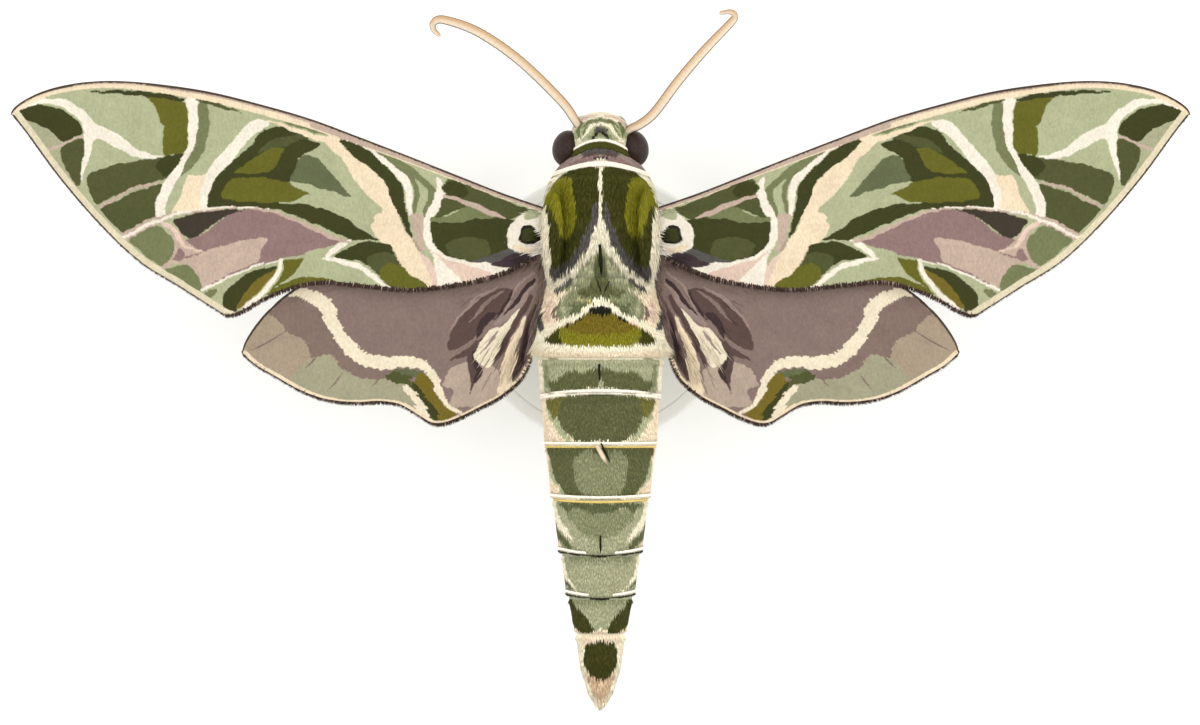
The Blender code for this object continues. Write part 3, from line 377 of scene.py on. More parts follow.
# How wide the hindwing's bright outer margin is
HINDWING_STRIP = 0.6
HINDWING_VEINS = [
    [(6.4, -2.6), (16.0, -1.6), (24.0, -1.4), (31.0, 0.5)],
    [(6.6, -2.2), (16.0, 0.0), (24.0, 1.4), (33.2, 4.2)],
    [(7.0, -1.6), (16.0, 2.2), (24.0, 4.6), (30.4, 7.0)],
    [(7.0, -1.0), (15.0, 3.6), (21.0, 6.6), (26.0, 9.2)],
    [(7.0, -0.5), (13.0, 4.2), (18.0, 8.0), (20.2, 9.6)],
    [(7.0, 0.2), (11.5, 5.0), (15.6, 11.2)],
    [(6.9, 1.2), (9.4, 5.6), (11.4, 9.8)],
]

# Body marks, head to tail. They are mirrored across the midline.
BODY_MARKS = [
    ("cream", [(-1, -18.3), (1.5, -18.0), (2.6, -17.2), (3.4, -16.0), (3.5, -14.0), (2.4, -14.6),
        (-1, -15.2)]),
    ("pink", [(0.4, -17.85, 0.2), (1.4, -17.55, 0.2), (2.4, -16.9, 0.2), (3.0, -16.3, 0.1)]),
    ("sage", [(-1, -17.6), (0.9, -17.4), (1.9, -16.9), (2.5, -16.3), (2.3, -15.5), (1.2, -15.5),
        (-1, -15.5)]),
    ("mid_green", [(-0.5, -17.4, 0.3), (0.5, -17.35, 0.4), (1.2, -17.1, 0.3), (1.7, -16.6, 0.1)]),
    ("mid_green", [(1.8, -17.1, 0.2), (2.1, -16.5, 0.4), (2.05, -15.7, 0.15)]),
    ("cream", [(-0.5, -17.0, 0.2), (0.6, -16.95, 0.28), (1.2, -16.5, 0.3), (1.5, -16.0, 0.26),
        (2.0, -15.4, 0.35), (2.3, -14.9, 0.3)]),
    ("mid_green", [(1.2, -16.9, 0.05), (1.55, -16.3, 0.16), (1.9, -15.7, 0.08)]),
    ("grey_sage", [(-1, -16.85), (0.45, -16.8), (0.7, -16.2), (1.0, -15.65), (-1, -15.6)]),
    ("grey", [(-1, -16.7), (0.4, -16.65), (0.6, -16.2), (-1, -16.1)]),
    ("black", [(-0.2, -16.2, 0.16), (0.2, -16.1, 0.22), (0.55, -15.85, 0.26), (0.85, -15.65, 0.1)]),
    ("sage", [(-0.5, -15.7, 0.22), (0.6, -15.6, 0.14)]),
    ("cream", [(-0.5, -15.4, 0.28), (1.0, -15.36, 0.28), (1.7, -15.12, 0.28), (2.4, -14.6, 0.28),
        (3.2, -13.8, 0.24)]),
    ("coat_deep", [(-0.5, -15.03, 0.52), (1.0, -14.98, 0.52), (1.8, -14.68, 0.5), (2.6, -14.1, 0.42),
        (3.1, -13.7, 0.2)]),
    ("grey", [(-0.5, -14.42, 0.66), (1.0, -14.32, 0.6), (1.8, -14.05, 0.4)]),
    ("shade", [(0.5, -14.05, 0.3), (1.1, -14.0, 0.4), (1.7, -13.85, 0.2)]),
    ("mauve", [(-0.5, -13.7, 0.4), (1.2, -13.62, 0.5), (2.2, -13.4, 0.8), (3.1, -13.2, 1.0),
        (4.0, -12.6, 0.8), (4.8, -11.9, 0.4)]),
    ("dust", [(1.8, -14.0, 0.2), (2.7, -13.6, 0.5), (3.5, -13.0, 0.7), (4.4, -12.2, 0.4)]),
    ("plum", [(-1, -14.0), (0.2, -13.85), (0.75, -13.65), (0.3, -13.35), (-1, -13.3)]),
    ("cream", [(-1, -13.25), (1.2, -13.3), (2.8, -12.95), (4.3, -12.3), (5.2, -11.5), (6.4, -9.6),
        (6.4, -1.0), (4.6, -0.9), (4.0, -1.8), (0.5, -6.0), (-1, -6.0)]),
    ("coat_deep", [(0.17, -12.6), (0.6, -12.98), (1.6, -12.95), (2.8, -12.65), (4.0, -12.0), (4.9, -11.3),
        (5.5, -10.4), (5.85, -9.4), (5.2, -9.05), (5.0, -8.3), (4.8, -6.0), (4.65, -4.2), (4.7, -2.8),
        (4.3, -2.45), (3.5, -2.85), (2.7, -3.5), (1.9, -4.4), (1.3, -5.2), (0.8, -6.0), (0.35, -6.9),
        (0.2, -7.8), (0.14, -9.0), (0.16, -11.0)]),
    ("grey", [(0.3, -9.6), (0.7, -9.0), (1.0, -8.0), (1.25, -7.3), (1.8, -6.1), (2.3, -5.1), (3.0, -4.2),
        (3.9, -3.7), (4.65, -3.3), (4.7, -2.7), (4.2, -2.4), (3.5, -2.85), (2.7, -3.5), (1.9, -4.4),
        (1.3, -5.2), (0.8, -6.0), (0.35, -6.9), (0.2, -7.8)]),
    ("coat_olive", [(2.8, -11.7), (3.4, -11.9), (4.1, -11.7), (4.8, -11.3), (5.5, -10.4), (5.9, -9.4),
        (5.2, -9.1), (4.7, -8.9), (4.4, -8.2), (4.0, -7.3), (3.9, -6.7), (3.2, -6.2), (2.7, -6.8),
        (2.35, -7.4), (2.3, -8.5), (2.35, -9.8), (2.6, -10.9)]),
    ("cream", [(3.5, -12.4, 0.3), (4.3, -11.8, 0.34), (4.95, -11.0, 0.38), (5.3, -10.3, 0.4),
        (5.6, -9.3, 0.5)]),
    ("cream", [(0.0, -7.9, 0.4), (0.15, -6.8, 0.95), (0.5, -5.75, 0.9), (0.95, -4.9, 0.8),
        (1.5, -4.05, 0.75), (2.1, -3.35, 0.7), (2.9, -2.75, 0.62), (3.8, -2.2, 0.62), (4.6, -1.65, 0.8),
        (5.2, -1.0, 0.8)]),
    ("grey_sage", [(-1, -5.2), (0.2, -5.2), (0.8, -4.6), (1.7, -3.5), (2.7, -2.5), (3.9, -1.7), (3.0, -1.4),
        (1.8, -1.3), (-1, -1.4)]),
    ("pale_sage", [(0.5, -4.6), (1.0, -4.0), (2.0, -2.9), (2.8, -2.2), (2.2, -2.0), (1.2, -2.4),
        (0.6, -3.2)]),
    # A dark grey stroke along the rear of the cream V: painted shadow under the V line
    ("grey", [(2.2, -2.5, 0.1), (3.2, -2.0, 0.4), (4.2, -1.3, 0.35), (4.5, -1.1, 0.1)]),
    ("grey_moss", [(0.2, -4.6, 0.3), (0.3, -3.4, 0.5), (0.2, -2.2, 0.5)]),
    ("peach", [(2.2, -1.45), (3.2, -1.3), (4.0, -1.2), (5.4, -1.4), (6.5, 0.0), (6.5, 3.0), (4.0, 2.5),
        (2.0, 1.0), (3.2, 0.0)]),
    ("grey_sage", [(-1, -1.5), (1.6, -1.5), (2.6, -1.3), (3.4, -0.9), (3.95, -0.2), (3.95, 1.4),
        (2.6, 1.05), (1.4, 0.5), (0.9, 0.2), (-1, 0.0)]),
    ("pale_sage", [(3.6, -0.6, 0.2), (3.5, 0.2, 0.5), (3.4, 1.0, 0.4)]),
    ("coat_moss", [(-1, -2.7), (0.5, -2.3), (0.9, -2.0), (1.6, -1.5), (2.5, -1.15), (1.7, -0.85),
        (0.9, -0.6), (-1, -0.5)]),
    ("grey_moss", [(3.0, 0.0), (2.6, 0.45), (2.9, 1.0), (2.1, 0.9), (1.3, 0.4), (1.0, 0.1), (1.3, -0.25),
        (2.1, 0.05)]),
    ("gold", [(2.2, -0.55, 0.05), (1.3, -0.3, 0.12), (0.6, -0.15, 0.1)]),
    ("cream", [(-1, -0.62), (0.3, -0.58), (0.75, -0.32), (1.1, 0.0), (0.9, 0.35), (-1, 0.3)]),
    ("brown_shade", [(4.1, 1.5, 0.15), (4.4, 0.8, 0.4), (4.15, 0.1, 0.15)]),
    ("pink", [(4.9, 1.6, 0.2), (5.0, 0.6, 0.5), (4.6, -0.4, 0.3)]),
    ("grey", [(5.3, 2.4, 0.4), (5.8, 1.6, 0.8), (5.9, 0.6, 0.6), (5.6, -0.2, 0.2)]),
    ("cream", [(-0.5, -0.1, 0.5), (0.9, 0.15, 0.5), (2.0, 0.9, 0.42), (3.2, 1.4, 0.42), (4.2, 1.95, 0.5),
        (5.2, 2.6, 0.6), (6.2, 3.2, 1.2)]),
    ("ochre", [(-1, 0.35), (0.6, 0.35), (1.1, 0.6), (2.0, 1.3), (3.0, 1.8), (3.8, 2.2), (4.6, 2.7),
        (5.1, 3.15), (5.0, 3.4), (4.4, 3.7), (3.4, 3.6), (2.4, 3.85), (1.0, 4.0), (-1, 4.0)]),
    ("coat_olive", [(-1, 2.9), (2.0, 2.7), (3.0, 2.3), (3.8, 2.2), (4.6, 2.7), (4.4, 3.7), (3.4, 3.6),
        (2.4, 3.85), (1.0, 4.0), (-1, 4.0)]),
    ("coat_deep", [(3.9, 2.3), (4.6, 2.7), (5.15, 3.15), (5.0, 3.45), (4.4, 3.75), (3.5, 3.6), (3.8, 3.0)]),
    ("black", [(-1, 0.2), (0.7, 0.2), (1.15, 0.5), (0.8, 0.85), (0.3, 0.95), (-1, 0.9)]),
    ("black", [(0.9, 0.5, 0.12), (1.6, 1.05, 0.14), (2.6, 1.62, 0.14), (3.5, 2.0, 0.08)]),
    ("cream", [(-1, 4.0), (2.4, 3.85), (3.4, 3.65), (4.4, 3.75), (5.1, 3.4), (5.7, 2.8), (6.8, 3.3),
        (6.8, 4.6), (6.0, 5.2), (4.5, 5.0), (2.0, 5.1), (-1, 5.15)]),
    ("peach", [(-1, 4.5), (3.0, 4.4), (6.6, 4.3), (6.2, 4.9), (3.0, 4.9), (-1, 5.0)]),
    ("cream", [(5.9, 4.8, 0.7), (5.75, 6.5, 0.6), (5.5, 8.2, 0.6)]),
    ("coat_moss", [(0.12, 6.1), (1.0, 6.05), (1.8, 6.3), (2.8, 6.2), (3.5, 6.4), (3.9, 6.8), (4.4, 7.1),
        (4.9, 7.0), (4.8, 7.6), (4.2, 8.05), (3.0, 8.05), (1.5, 7.85), (0.4, 7.7), (0.1, 7.0)]),
    ("grey_sage", [(5.1, 5.6, 0.2), (5.1, 6.6, 0.45), (5.0, 7.6, 0.3)]),
    ("cream", [(-0.5, 8.1, 0.5), (2.0, 8.15, 0.5), (4.0, 8.35, 0.5), (5.9, 8.6, 0.55)]),
    ("peach", [(3.0, 8.8), (6.0, 8.7), (5.9, 13.2), (2.4, 13.0), (3.2, 12.0), (4.2, 10.4)]),
    ("sage", [(5.0, 8.9, 0.3), (4.7, 10.0, 0.5), (4.2, 11.0, 0.5), (3.4, 12.2, 0.5), (2.9, 12.8, 0.2)]),
    ("coat_moss", [(-1, 8.4), (2.0, 8.45), (4.0, 8.7), (4.9, 8.75), (4.7, 9.5), (4.1, 10.2), (3.8, 11.0),
        (3.2, 11.9), (2.5, 12.4), (2.2, 12.8), (-1, 12.8)]),
    ("shoulder", [(3.3, 8.6), (5.1, 8.8), (5.0, 9.5), (4.6, 10.2), (4.1, 10.7), (3.9, 9.9), (3.7, 9.1)]),
    ("cream", [(-0.5, 12.95, 0.35), (3.0, 12.95, 0.35), (5.6, 13.0, 0.4)]),
    ("peach", [(5.4, 13.4), (5.2, 18.2), (3.2, 18.1), (3.8, 17.2), (4.4, 16.2), (4.8, 14.8), (4.9, 13.5)]),
    ("sage", [(4.9, 14.6, 0.1), (4.5, 16.0, 0.3), (3.9, 17.0, 0.3), (3.4, 17.8, 0.1)]),
    ("coat_moss", [(-1, 13.3), (4.8, 13.35), (4.75, 14.4), (4.4, 15.8), (3.8, 17.0), (3.1, 17.9),
        (2.6, 18.0), (-1, 18.1)]),
    ("grey_sage", [(-1, 13.9), (0.4, 13.9), (0.9, 13.6), (1.5, 13.55), (2.2, 13.9), (2.6, 14.8),
        (2.5, 15.6), (2.4, 16.4), (2.1, 17.1), (1.7, 17.6), (1.0, 17.95), (-1, 18.05)]),
    ("cream", [(-0.5, 18.1, 0.34), (3.0, 18.1, 0.34), (5.0, 17.95, 0.36)]),
    ("grey_sage", [(-1, 19.2), (2.6, 19.2), (3.1, 19.8), (2.6, 20.4), (1.8, 21.3), (0.8, 21.7),
        (-1, 21.75)]),
    ("grey_moss", [(-1, 18.55), (3.7, 18.5), (3.4, 19.0), (2.9, 19.4), (2.6, 19.0), (1.5, 19.1),
        (0.8, 19.5), (-1, 19.3)]),
    ("cream", [(4.5, 18.6, 0.7), (4.1, 20.1, 0.65), (3.3, 21.3, 0.45), (2.4, 22.2, 0.12)]),
    ("coat_moss", [(4.3, 20.4), (3.8, 21.3), (2.8, 22.3), (2.7, 22.9), (3.3, 22.6), (4.1, 21.7),
        (4.4, 21.0)]),
    ("peach", [(4.0, 22.1, 0.2), (3.7, 22.9, 0.5), (2.8, 23.25, 0.14)]),
    ("cream", [(2.0, 23.28, 0.12), (3.0, 23.1, 0.2), (4.0, 22.8, 0.3)]),
    ("grey_sage", [(-0.5, 23.85, 0.3), (2.9, 23.75, 0.3)]),
    ("cream", [(3.7, 23.8, 0.5), (3.3, 25.3, 0.5), (2.6, 26.6, 0.35), (1.8, 27.0, 0.1)]),
    ("grey_moss", [(3.4, 25.6, 0.15), (3.1, 26.2, 0.3), (2.5, 26.8, 0.1)]),
    ("cream", [(2.0, 27.3, 0.1), (3.4, 26.9, 0.3)]),
    ("grey_sage", [(-0.5, 27.85, 0.25), (2.4, 27.8, 0.25)]),
    ("coat_deep", [(3.4, 27.5), (2.7, 27.7), (2.3, 28.2), (1.9, 28.6), (1.3, 29.3), (0.8, 30.2),
        (0.45, 30.7), (1.6, 30.75), (2.2, 30.6), (3.0, 30.0), (3.4, 28.6)]),
    ("peach", [(-1, 30.75), (1.6, 30.8), (3.0, 30.4), (3.0, 38.0), (-1, 38.0)]),
    ("cream", [(2.2, 30.8, 0.5), (1.85, 32.5, 0.5), (1.6, 34.0, 0.5), (1.2, 35.6, 0.45), (0.6, 37.0, 0.4)]),
    ("tail_pink", [(-1, 34.9), (0.8, 34.9), (1.4, 34.3), (1.25, 35.3), (0.85, 36.3), (0.3, 36.8),
        (-1, 36.9)]),
    ("coat_deep", [(-1, 31.6), (0.9, 31.6), (1.4, 31.95), (1.6, 32.8), (1.5, 33.7), (1.1, 34.4),
        (0.6, 34.95), (-1, 35.0)]),
]

# Creases and smears on the back that break the coat: from and to (out, aft), width and colour
CREASES = [((0.3, 13.1), (-0.7, 15.1), 0.5, "peach"), ((-0.05, 12.9), (-0.95, 14.9), 0.2, "black"),
           ((0.05, -5.6), (-0.1, -2.3), 0.34, "black"), ((0.35, -2.4), (-0.2, -0.9), 0.13, "black"),
           ((-0.75, -2.2), (-0.2, -0.9), 0.13, "black"), ((0.1, 5.5), (0.05, 7.3), 0.22, "black"),
           ((0.0, 21.5), (0.0, 23.4), 0.24, "black")]
# Rows of trimming scales lie over the back and down to this angle on both flanks
FLANK = 1.8
# Each row: (aft on the back, how far it bows aft at the flank, scale length, colour, and the angles
# from the back where it starts and stops)
JOINT_ROWS = [
    (-15.55, 1.1, 0.3, "cream", 0.0, FLANK), (-15.3, 1.1, 0.3, "coat_deep", 0.0, 1.05),
    (-15.12, 1.1, 0.3, "coat_deep", 0.0, 1.05), (-14.95, 1.1, 0.3, "coat_deep", 0.0, 1.05),
    (-13.45, 0.95, 0.4, "cream", 0.0, FLANK), (-13.25, 0.95, 0.4, "cream", 0.0, FLANK),
    (7.85, 0.45, 0.4, "cream", 0.0, FLANK), (8.05, 0.45, 0.4, "cream", 0.0, FLANK),
    (12.8, 0.0, 0.35, "cream", 0.0, FLANK), (12.95, 0.0, 0.3, "cream", 0.0, FLANK),
    (13.12, 0.05, 0.26, "gold", 0.0, FLANK), (17.85, -0.2, 0.4, "cream", 0.0, FLANK),
    (18.05, -0.2, 0.35, "cream", 0.0, FLANK), (18.28, -0.2, 0.28, "gold", 0.0, FLANK),
    (23.1, -0.45, 0.3, "cream", 0.35, FLANK), (23.4, -0.35, 0.2, "black", 0.0, FLANK),
    (27.05, -0.4, 0.3, "cream", 0.35, FLANK), (27.42, -0.35, 0.2, "black", 0.0, FLANK),
]

# Distances to a mark are measured where it is nearby; FAR stands for any distance beyond
NEARBY, FAR = 1.5, 9.0


def smooth_line(points, steps, closed=False):
    """Points along a smooth curve through the given ones, a number of steps from each to the next."""
    p = np.array(points, float)
    if closed:
        before, start, end, after = (np.roll(p, k, axis=0) for k in (1, 0, -1, -2))
    else:
        padded = np.vstack([p[:1], p, p[-1:]])
        before, start, end, after = padded[:-3], padded[1:-2], padded[2:-1], padded[3:]
    t = (np.arange(steps) / steps)[None, :, None]
    before, start, end, after = (a[:, None, :] for a in (before, start, end, after))
    slope_in, slope_out = (end - before) / 2, (after - start) / 2
    curve = (
        start * (2 * t**3 - 3 * t**2 + 1)
        + slope_in * (t**3 - 2 * t**2 + t)
        + end * (3 * t**2 - 2 * t**3)
        + slope_out * (t**3 - t**2)
    ).reshape(-1, p.shape[1])
    return curve if closed else np.vstack([curve, p[-1:]])


def along_segment(points, start, end):
    """Each point's distance to a segment, and the share of the segment where it is nearest."""
    step = end - start
    share = np.clip((points - start) @ step / max(step @ step, 1e-12), 0, 1)
    return np.linalg.norm(points - start - share[:, None] * step, axis=1), share


def reach_into_patch(points, outline):
    """Signed distance, positive inside a closed smooth outline."""
    line = smooth_line(outline, 4, closed=True)
    nearest = np.full(len(points), FAR)
    inside = np.zeros(len(points), bool)
    for start, end in zip(line, np.roll(line, -1, axis=0)):
        nearest = np.minimum(nearest, along_segment(points, start, end)[0])
        spans = (start[1] > points[:, 1]) != (end[1] > points[:, 1])
        if start[1] != end[1]:
            crossing = start[0] + (points[:, 1] - start[1]) / (end[1] - start[1]) * (end[0] - start[0])
            inside ^= spans & (points[:, 0] < crossing)
    return np.where(inside, nearest, -nearest)


def reach_into_band(points, band):
    """Signed distance, positive inside a smooth line whose width follows its third numbers."""
    line = smooth_line(band, 4)
    reach = np.full(len(points), -FAR)
    for start, end in zip(line[:-1], line[1:]):
        gap, share = along_segment(points, start[:2], end[:2])
        reach = np.maximum(reach, (start[2] + (end[2] - start[2]) * share) / 2 - gap)
    return reach


def within(points, low, high):
    """Whether each point lies in a box or nearby."""
    return np.all((points > low - NEARBY) & (points < high + NEARBY), axis=1)


class Pattern:
    """How deep each point lies in each colour's area, in mm; a later mark covers the earlier ones."""

    def __init__(self, points, marks, ground):
        self.points = points + wander(points)
        self.depth = {}
        self.claim(ground, np.full(len(points), FAR))
        for colour, shape in marks:
            corners = np.array(shape)[:, :2]
            near = within(self.points, corners.min(0), corners.max(0))
            if near.any():
                measure = reach_into_band if len(shape[0]) == 3 else reach_into_patch
                reach = np.full(len(points), -NEARBY)
                reach[near] = measure(self.points[near], shape)
                self.claim(colour, reach)

    def claim(self, colour, reach):
        """Gives a colour the points it reaches, and takes them from the others."""
        self.depth.setdefault(colour, np.full(len(reach), -FAR))
        for name, depth in self.depth.items():
            if name == colour:
                np.maximum(depth, reach, out=depth)
            else:
                np.minimum(depth, -reach, out=depth)

    def colours(self, table):
        """The linear colour at each point."""
        names = list(self.depth)
        top = np.argmax([self.depth[name] for name in names], axis=0)
        return np.array([rgb(table[name]) for name in names])[top]


def wander(points):
    """A small smooth shift that takes the ruled look off every edge."""
    x, y = points[:, 0], points[:, 1]
    dx = 0.05 * np.sin(2.3 * y + 1.1 * x) + 0.03 * np.sin(5.9 * y - 3.1 * x + 1.0)
    dy = 0.05 * np.sin(2.7 * x - 0.9 * y) + 0.03 * np.sin(6.3 * x + 2.9 * y + 2.0)
    return np.stack([dx, dy], axis=1)


def torn(points):
    """A short uneven sawtooth shift: the hindwing's long scales tear the edges of its outer marks."""
    x, y = points[:, 0], points[:, 1]
    reach = np.clip((x - 13.5) / 2.0, 0.0, 1.0)[:, None]
    long_teeth = np.mod(0.9 * y + 0.5 * x + 0.2 * np.sin(1.7 * x), 1.0)
    short_teeth = np.mod(1.1 * x - 2.1 * y + 0.3 * np.sin(2.3 * y), 1.0)
    return reach * np.stack([0.3 * long_teeth - 0.15, 0.2 * short_teeth - 0.1], axis=1)


# ---- Making meshes ----


def place(spot, side=1):
    """Points (out, aft, up) in mm as positions in metres."""
    spot = np.asarray(spot, float)
    return np.stack([spot[:, 0] * side, spot[:, 1], spot[:, 2] + AXIS_HEIGHT], axis=1) * MM


def finished(name, mesh, finish, replaced=()):
    """Puts a mesh in the scene as a piece with its finish, on the one body, and hides the parts it replaces.
    """
    piece = bpy.data.objects.new(name, mesh)
    for each in finish if isinstance(finish, list) else [finish]:
        mesh.materials.append(each)
    bpy.context.scene.collection.objects.link(piece)
    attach(piece, "root")
    if replaced:
        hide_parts(*replaced)


def mesh_of(bm, name):
    """A smooth-shaded mesh from a bmesh, which is used up."""
    mesh = bpy.data.meshes.new(name)
    bm.to_mesh(mesh)
    bm.free()
    mesh.shade_smooth()
    return mesh


def positions(mesh):
    """A mesh's points in metres, a row each."""
    found = np.empty(len(mesh.vertices) * 3, np.float32)
    mesh.vertices.foreach_get("co", found)
    return found.reshape(-1, 3).astype(float)


def set_positions(mesh, metres):
    mesh.vertices.foreach_set("co", np.asarray(metres, np.float32).ravel())
    mesh.update()


def store(mesh, name, values):
    """Keeps a number, or a linear colour, for each point of a mesh."""
    values = np.asarray(values, np.float32)
    if values.ndim == 1:
        mesh.attributes.new(name, "FLOAT", "POINT").data.foreach_set("value", values)
    else:
        whole = np.ones((len(values), 4), np.float32)
        whole[:, :3] = values
        mesh.attributes.new(name, "FLOAT_COLOR", "POINT").data.foreach_set("color", whole.ravel())


def keep_unwrap(mesh, unwrap):
    """Gives a mesh its bake map, with a place for each corner of its faces."""
    layer = mesh.uv_layers.new(name="OFBake")
    layer.data.foreach_set("uv", unwrap.astype(np.float32).ravel())


def outward(mesh):
    """Welds a closed mesh and turns it the right way out."""
    bm = bmesh.new()
    bm.from_mesh(mesh)
    bmesh.ops.remove_doubles(bm, verts=bm.verts, dist=1e-7)
    bm.normal_update()
    bmesh.ops.recalc_face_normals(bm, faces=bm.faces)
    bm.to_mesh(mesh)
    bm.free()
    mesh.shade_smooth()


def tube_mesh(name, line, radii, sides):
    """A round closed rod along points in mm, with a radius for each."""
    bm = bmesh.new()
    heading = np.gradient(line, axis=0)
    loops = []
    for spot, way, radius in zip(line, heading, radii):
        corners = bmesh.ops.create_circle(bm, segments=sides, radius=radius * MM)["verts"]
        turn = Vector(way).to_track_quat("Z", "Y").to_matrix().to_4x4()
        centre = Vector((spot[0], spot[1], spot[2] + AXIS_HEIGHT)) * MM
        bmesh.ops.transform(bm, matrix=Matrix.Translation(centre) @ turn, verts=corners)
        loops.append(list({edge for corner in corners for edge in corner.link_edges}))
    for first, second in zip(loops, loops[1:]):
        bmesh.ops.bridge_loops(bm, edges=first + second)
    for end in (loops[0], loops[-1]):
        bmesh.ops.contextual_create(bm, geom=end)
    bmesh.ops.recalc_face_normals(bm, faces=bm.faces)
    return mesh_of(bm, name)


def egg_mesh(name, centre, half, side, turn):
    """A closed egg about a centre in mm, with half its sizes; turn is its rotation on the left side."""
    bm = bmesh.new()
    bmesh.ops.create_uvsphere(bm, u_segments=40, v_segments=28, radius=1.0)
    bmesh.ops.transform(bm, matrix=turn @ Matrix.Diagonal((*half, 1.0)), verts=bm.verts)
    mesh = mesh_of(bm, name)
    set_positions(mesh, place(positions(mesh) + centre, side))
    outward(mesh)
    return mesh


def hair_blade():
    """One hair-scale, a flat three-sided lance: its corners as (share of length, across, thickness), and
    its faces."""
    bm = bmesh.new()
    bmesh.ops.create_cone(bm, cap_ends=True, segments=3, radius1=0.36, radius2=0.0, depth=1.0)
    whole = bm.verts[:] + bm.edges[:] + bm.faces[:]
    middle = bmesh.ops.bisect_plane(bm, geom=whole, plane_co=(0, 0, -0.1), plane_no=(0, 0, 1))["geom_cut"]
    bmesh.ops.scale(bm, vec=(2.6, 2.6, 1.0), verts=[g for g in middle if isinstance(g, bmesh.types.BMVert)])
    bmesh.ops.recalc_face_normals(bm, faces=bm.faces)
    bm.verts.index_update()
    corners = np.array([(v.co.z + 0.5, v.co.x, v.co.y) for v in bm.verts])
    faces = [[v.index for v in f.verts] for f in bm.faces]
    bm.free()
    return corners, faces


BLADE_CORNERS, BLADE_FACES = hair_blade()
# How large one hair-scale is on the bake map, and the brightest that a scale gets
PATCH, BRIGHTEST = 0.0026, 0.97


def coat(name, root, along, face, length, width, paint, spots, finish, curl=0.0, side=1,
         fade=(1.2, 1.45)):
    """One piece of many hair-scales. Each has its root and unit directions along it and out of its flat
    face, a length and width in mm, and a spot on the unwrap of what it grows on. Paint is their linear
    colours, or a function that gives the colour at their middles; each fades between two shares of it from
    root to tip, as the roots stand in each other's shadow."""
    count, corners = len(root), BLADE_CORNERS
    across = unit(np.cross(along, face))
    share = corners[None, :, 0, None]
    reach, breadth = length[:, None, None], width[:, None, None]
    bend = np.broadcast_to(np.asarray(curl, float), (count,))[:, None, None]
    points = root[:, None, :] + along[:, None, :] * share * reach
    thick = corners[None, :, 2, None] * breadth * 0.15
    points = points + face[:, None, :] * (bend * reach * share**2 + thick)
    points = points + across[:, None, :] * corners[None, :, 1, None] * breadth
    sizes = np.array([len(f) for f in BLADE_FACES])
    starts = np.concatenate([[0], np.cumsum(sizes)[:-1]])
    corner_of = np.concatenate([np.array(f) if side > 0 else np.array(f)[::-1] for f in BLADE_FACES])
    loops = (np.arange(count)[:, None] * len(corners) + corner_of[None, :]).ravel()
    mesh = bpy.data.meshes.new(name)
    mesh.vertices.add(count * len(corners))
    mesh.loops.add(len(loops))
    mesh.polygons.add(count * len(sizes))
    mesh.loops.foreach_set("vertex_index", loops.astype(np.int32))
    begin = (np.arange(count)[:, None] * len(corner_of) + starts[None, :]).ravel()
    mesh.polygons.foreach_set("loop_start", begin.astype(np.int32))
    set_positions(mesh, place(points.reshape(-1, 3), side))
    mesh.update(calc_edges=True)
    if callable(paint):
        paint = paint(root + along * (0.5 * length)[:, None] + rng.normal(0, 0.03, (count, 3)))
        paint = paint * rng.uniform(0.9, 1.1, (count, 1))
    tint = paint[:, None, :] * (fade[0] + (fade[1] - fade[0]) * share**0.6)
    tint *= np.minimum(BRIGHTEST / tint.max(axis=2, keepdims=True), 1.0)
    store(mesh, "tint", tint.reshape(-1, 3))
    unwrap = spots[:, None, :] + np.stack([corners[:, 1] * 0.8, corners[:, 0] - 0.5], axis=1)[None] * PATCH
    keep_unwrap(mesh, np.clip(unwrap, 0.0, 1.0).reshape(-1, 2)[loops])
    mesh.validate()
    finished(name, mesh, finish)


# ---- Finishes ----


def add(tree, kind, settings=None, links=None):
    """A new node with its settings and what feeds its inputs."""
    node = tree.nodes.new(kind)
    for key, value in (settings or {}).items():
        if isinstance(key, str) and hasattr(node, key):
            setattr(node, key, value)
        else:
            node.inputs[key].default_value = value
    for key, source in (links or {}).items():
        tree.links.new(source, node.inputs[key])
    return node


def blank(name):
    """A new material and its empty tree of nodes."""
    made = bpy.data.materials.new(name)
    made.use_nodes = True
    made.node_tree.nodes.clear()
    return made, made.node_tree


def surface(tree, settings, links):
    """Ends a tree in a surface with these settings and inputs."""
    shader = add(tree, "ShaderNodeBsdfPrincipled", settings, links)
    add(tree, "ShaderNodeOutputMaterial", None, {"Surface": shader.outputs[0]})


def in_mm(tree, scale=(1.0, 1.0, 1.0), turn=0.0):
    """Object coordinates counted in millimetres, times a scale."""
    spot = add(tree, "ShaderNodeTexCoord").outputs["Object"]
    settings = {"Scale": [k / MM for k in scale], "Rotation": (0.0, 0.0, turn)}
    return add(tree, "ShaderNodeMapping", settings, {"Vector": spot}).outputs[0]


# The middle of a noise's range, where nearly all of it lies
MOST_NOISE = {"From Min": 0.3, "From Max": 0.7}
# The chitin finishes: (roughness, sheen, size of the grain in mm, its depth in mm)
CHITIN = {
    "chitin_skin": (0.7, 0.0, 0.12, 0.02), "hair_scales": (0.75, 0.0, 0.3, 0.01),
    "antenna_chitin": (0.5, 0.1, 0.15, 0.02), "tongue_chitin": (0.32, 0.0, 0.1, 0.01),
    "leg_chitin": (0.6, 0.1, 0.12, 0.02),
}


def scale_cells(tree, wide, long, turn):
    """Cells as wide and long in mm as a scale, and random numbers, the same all over a cell."""
    cells = add(tree, "ShaderNodeTexVoronoi", {"voronoi_dimensions": "2D", "Scale": 1.0, "Randomness": 0.75},
                {"Vector": in_mm(tree, (1 / wide, 1 / long, 0.001), turn)})
    return cells, add(tree, "ShaderNodeSeparateColor", None, {0: cells.outputs["Color"]})


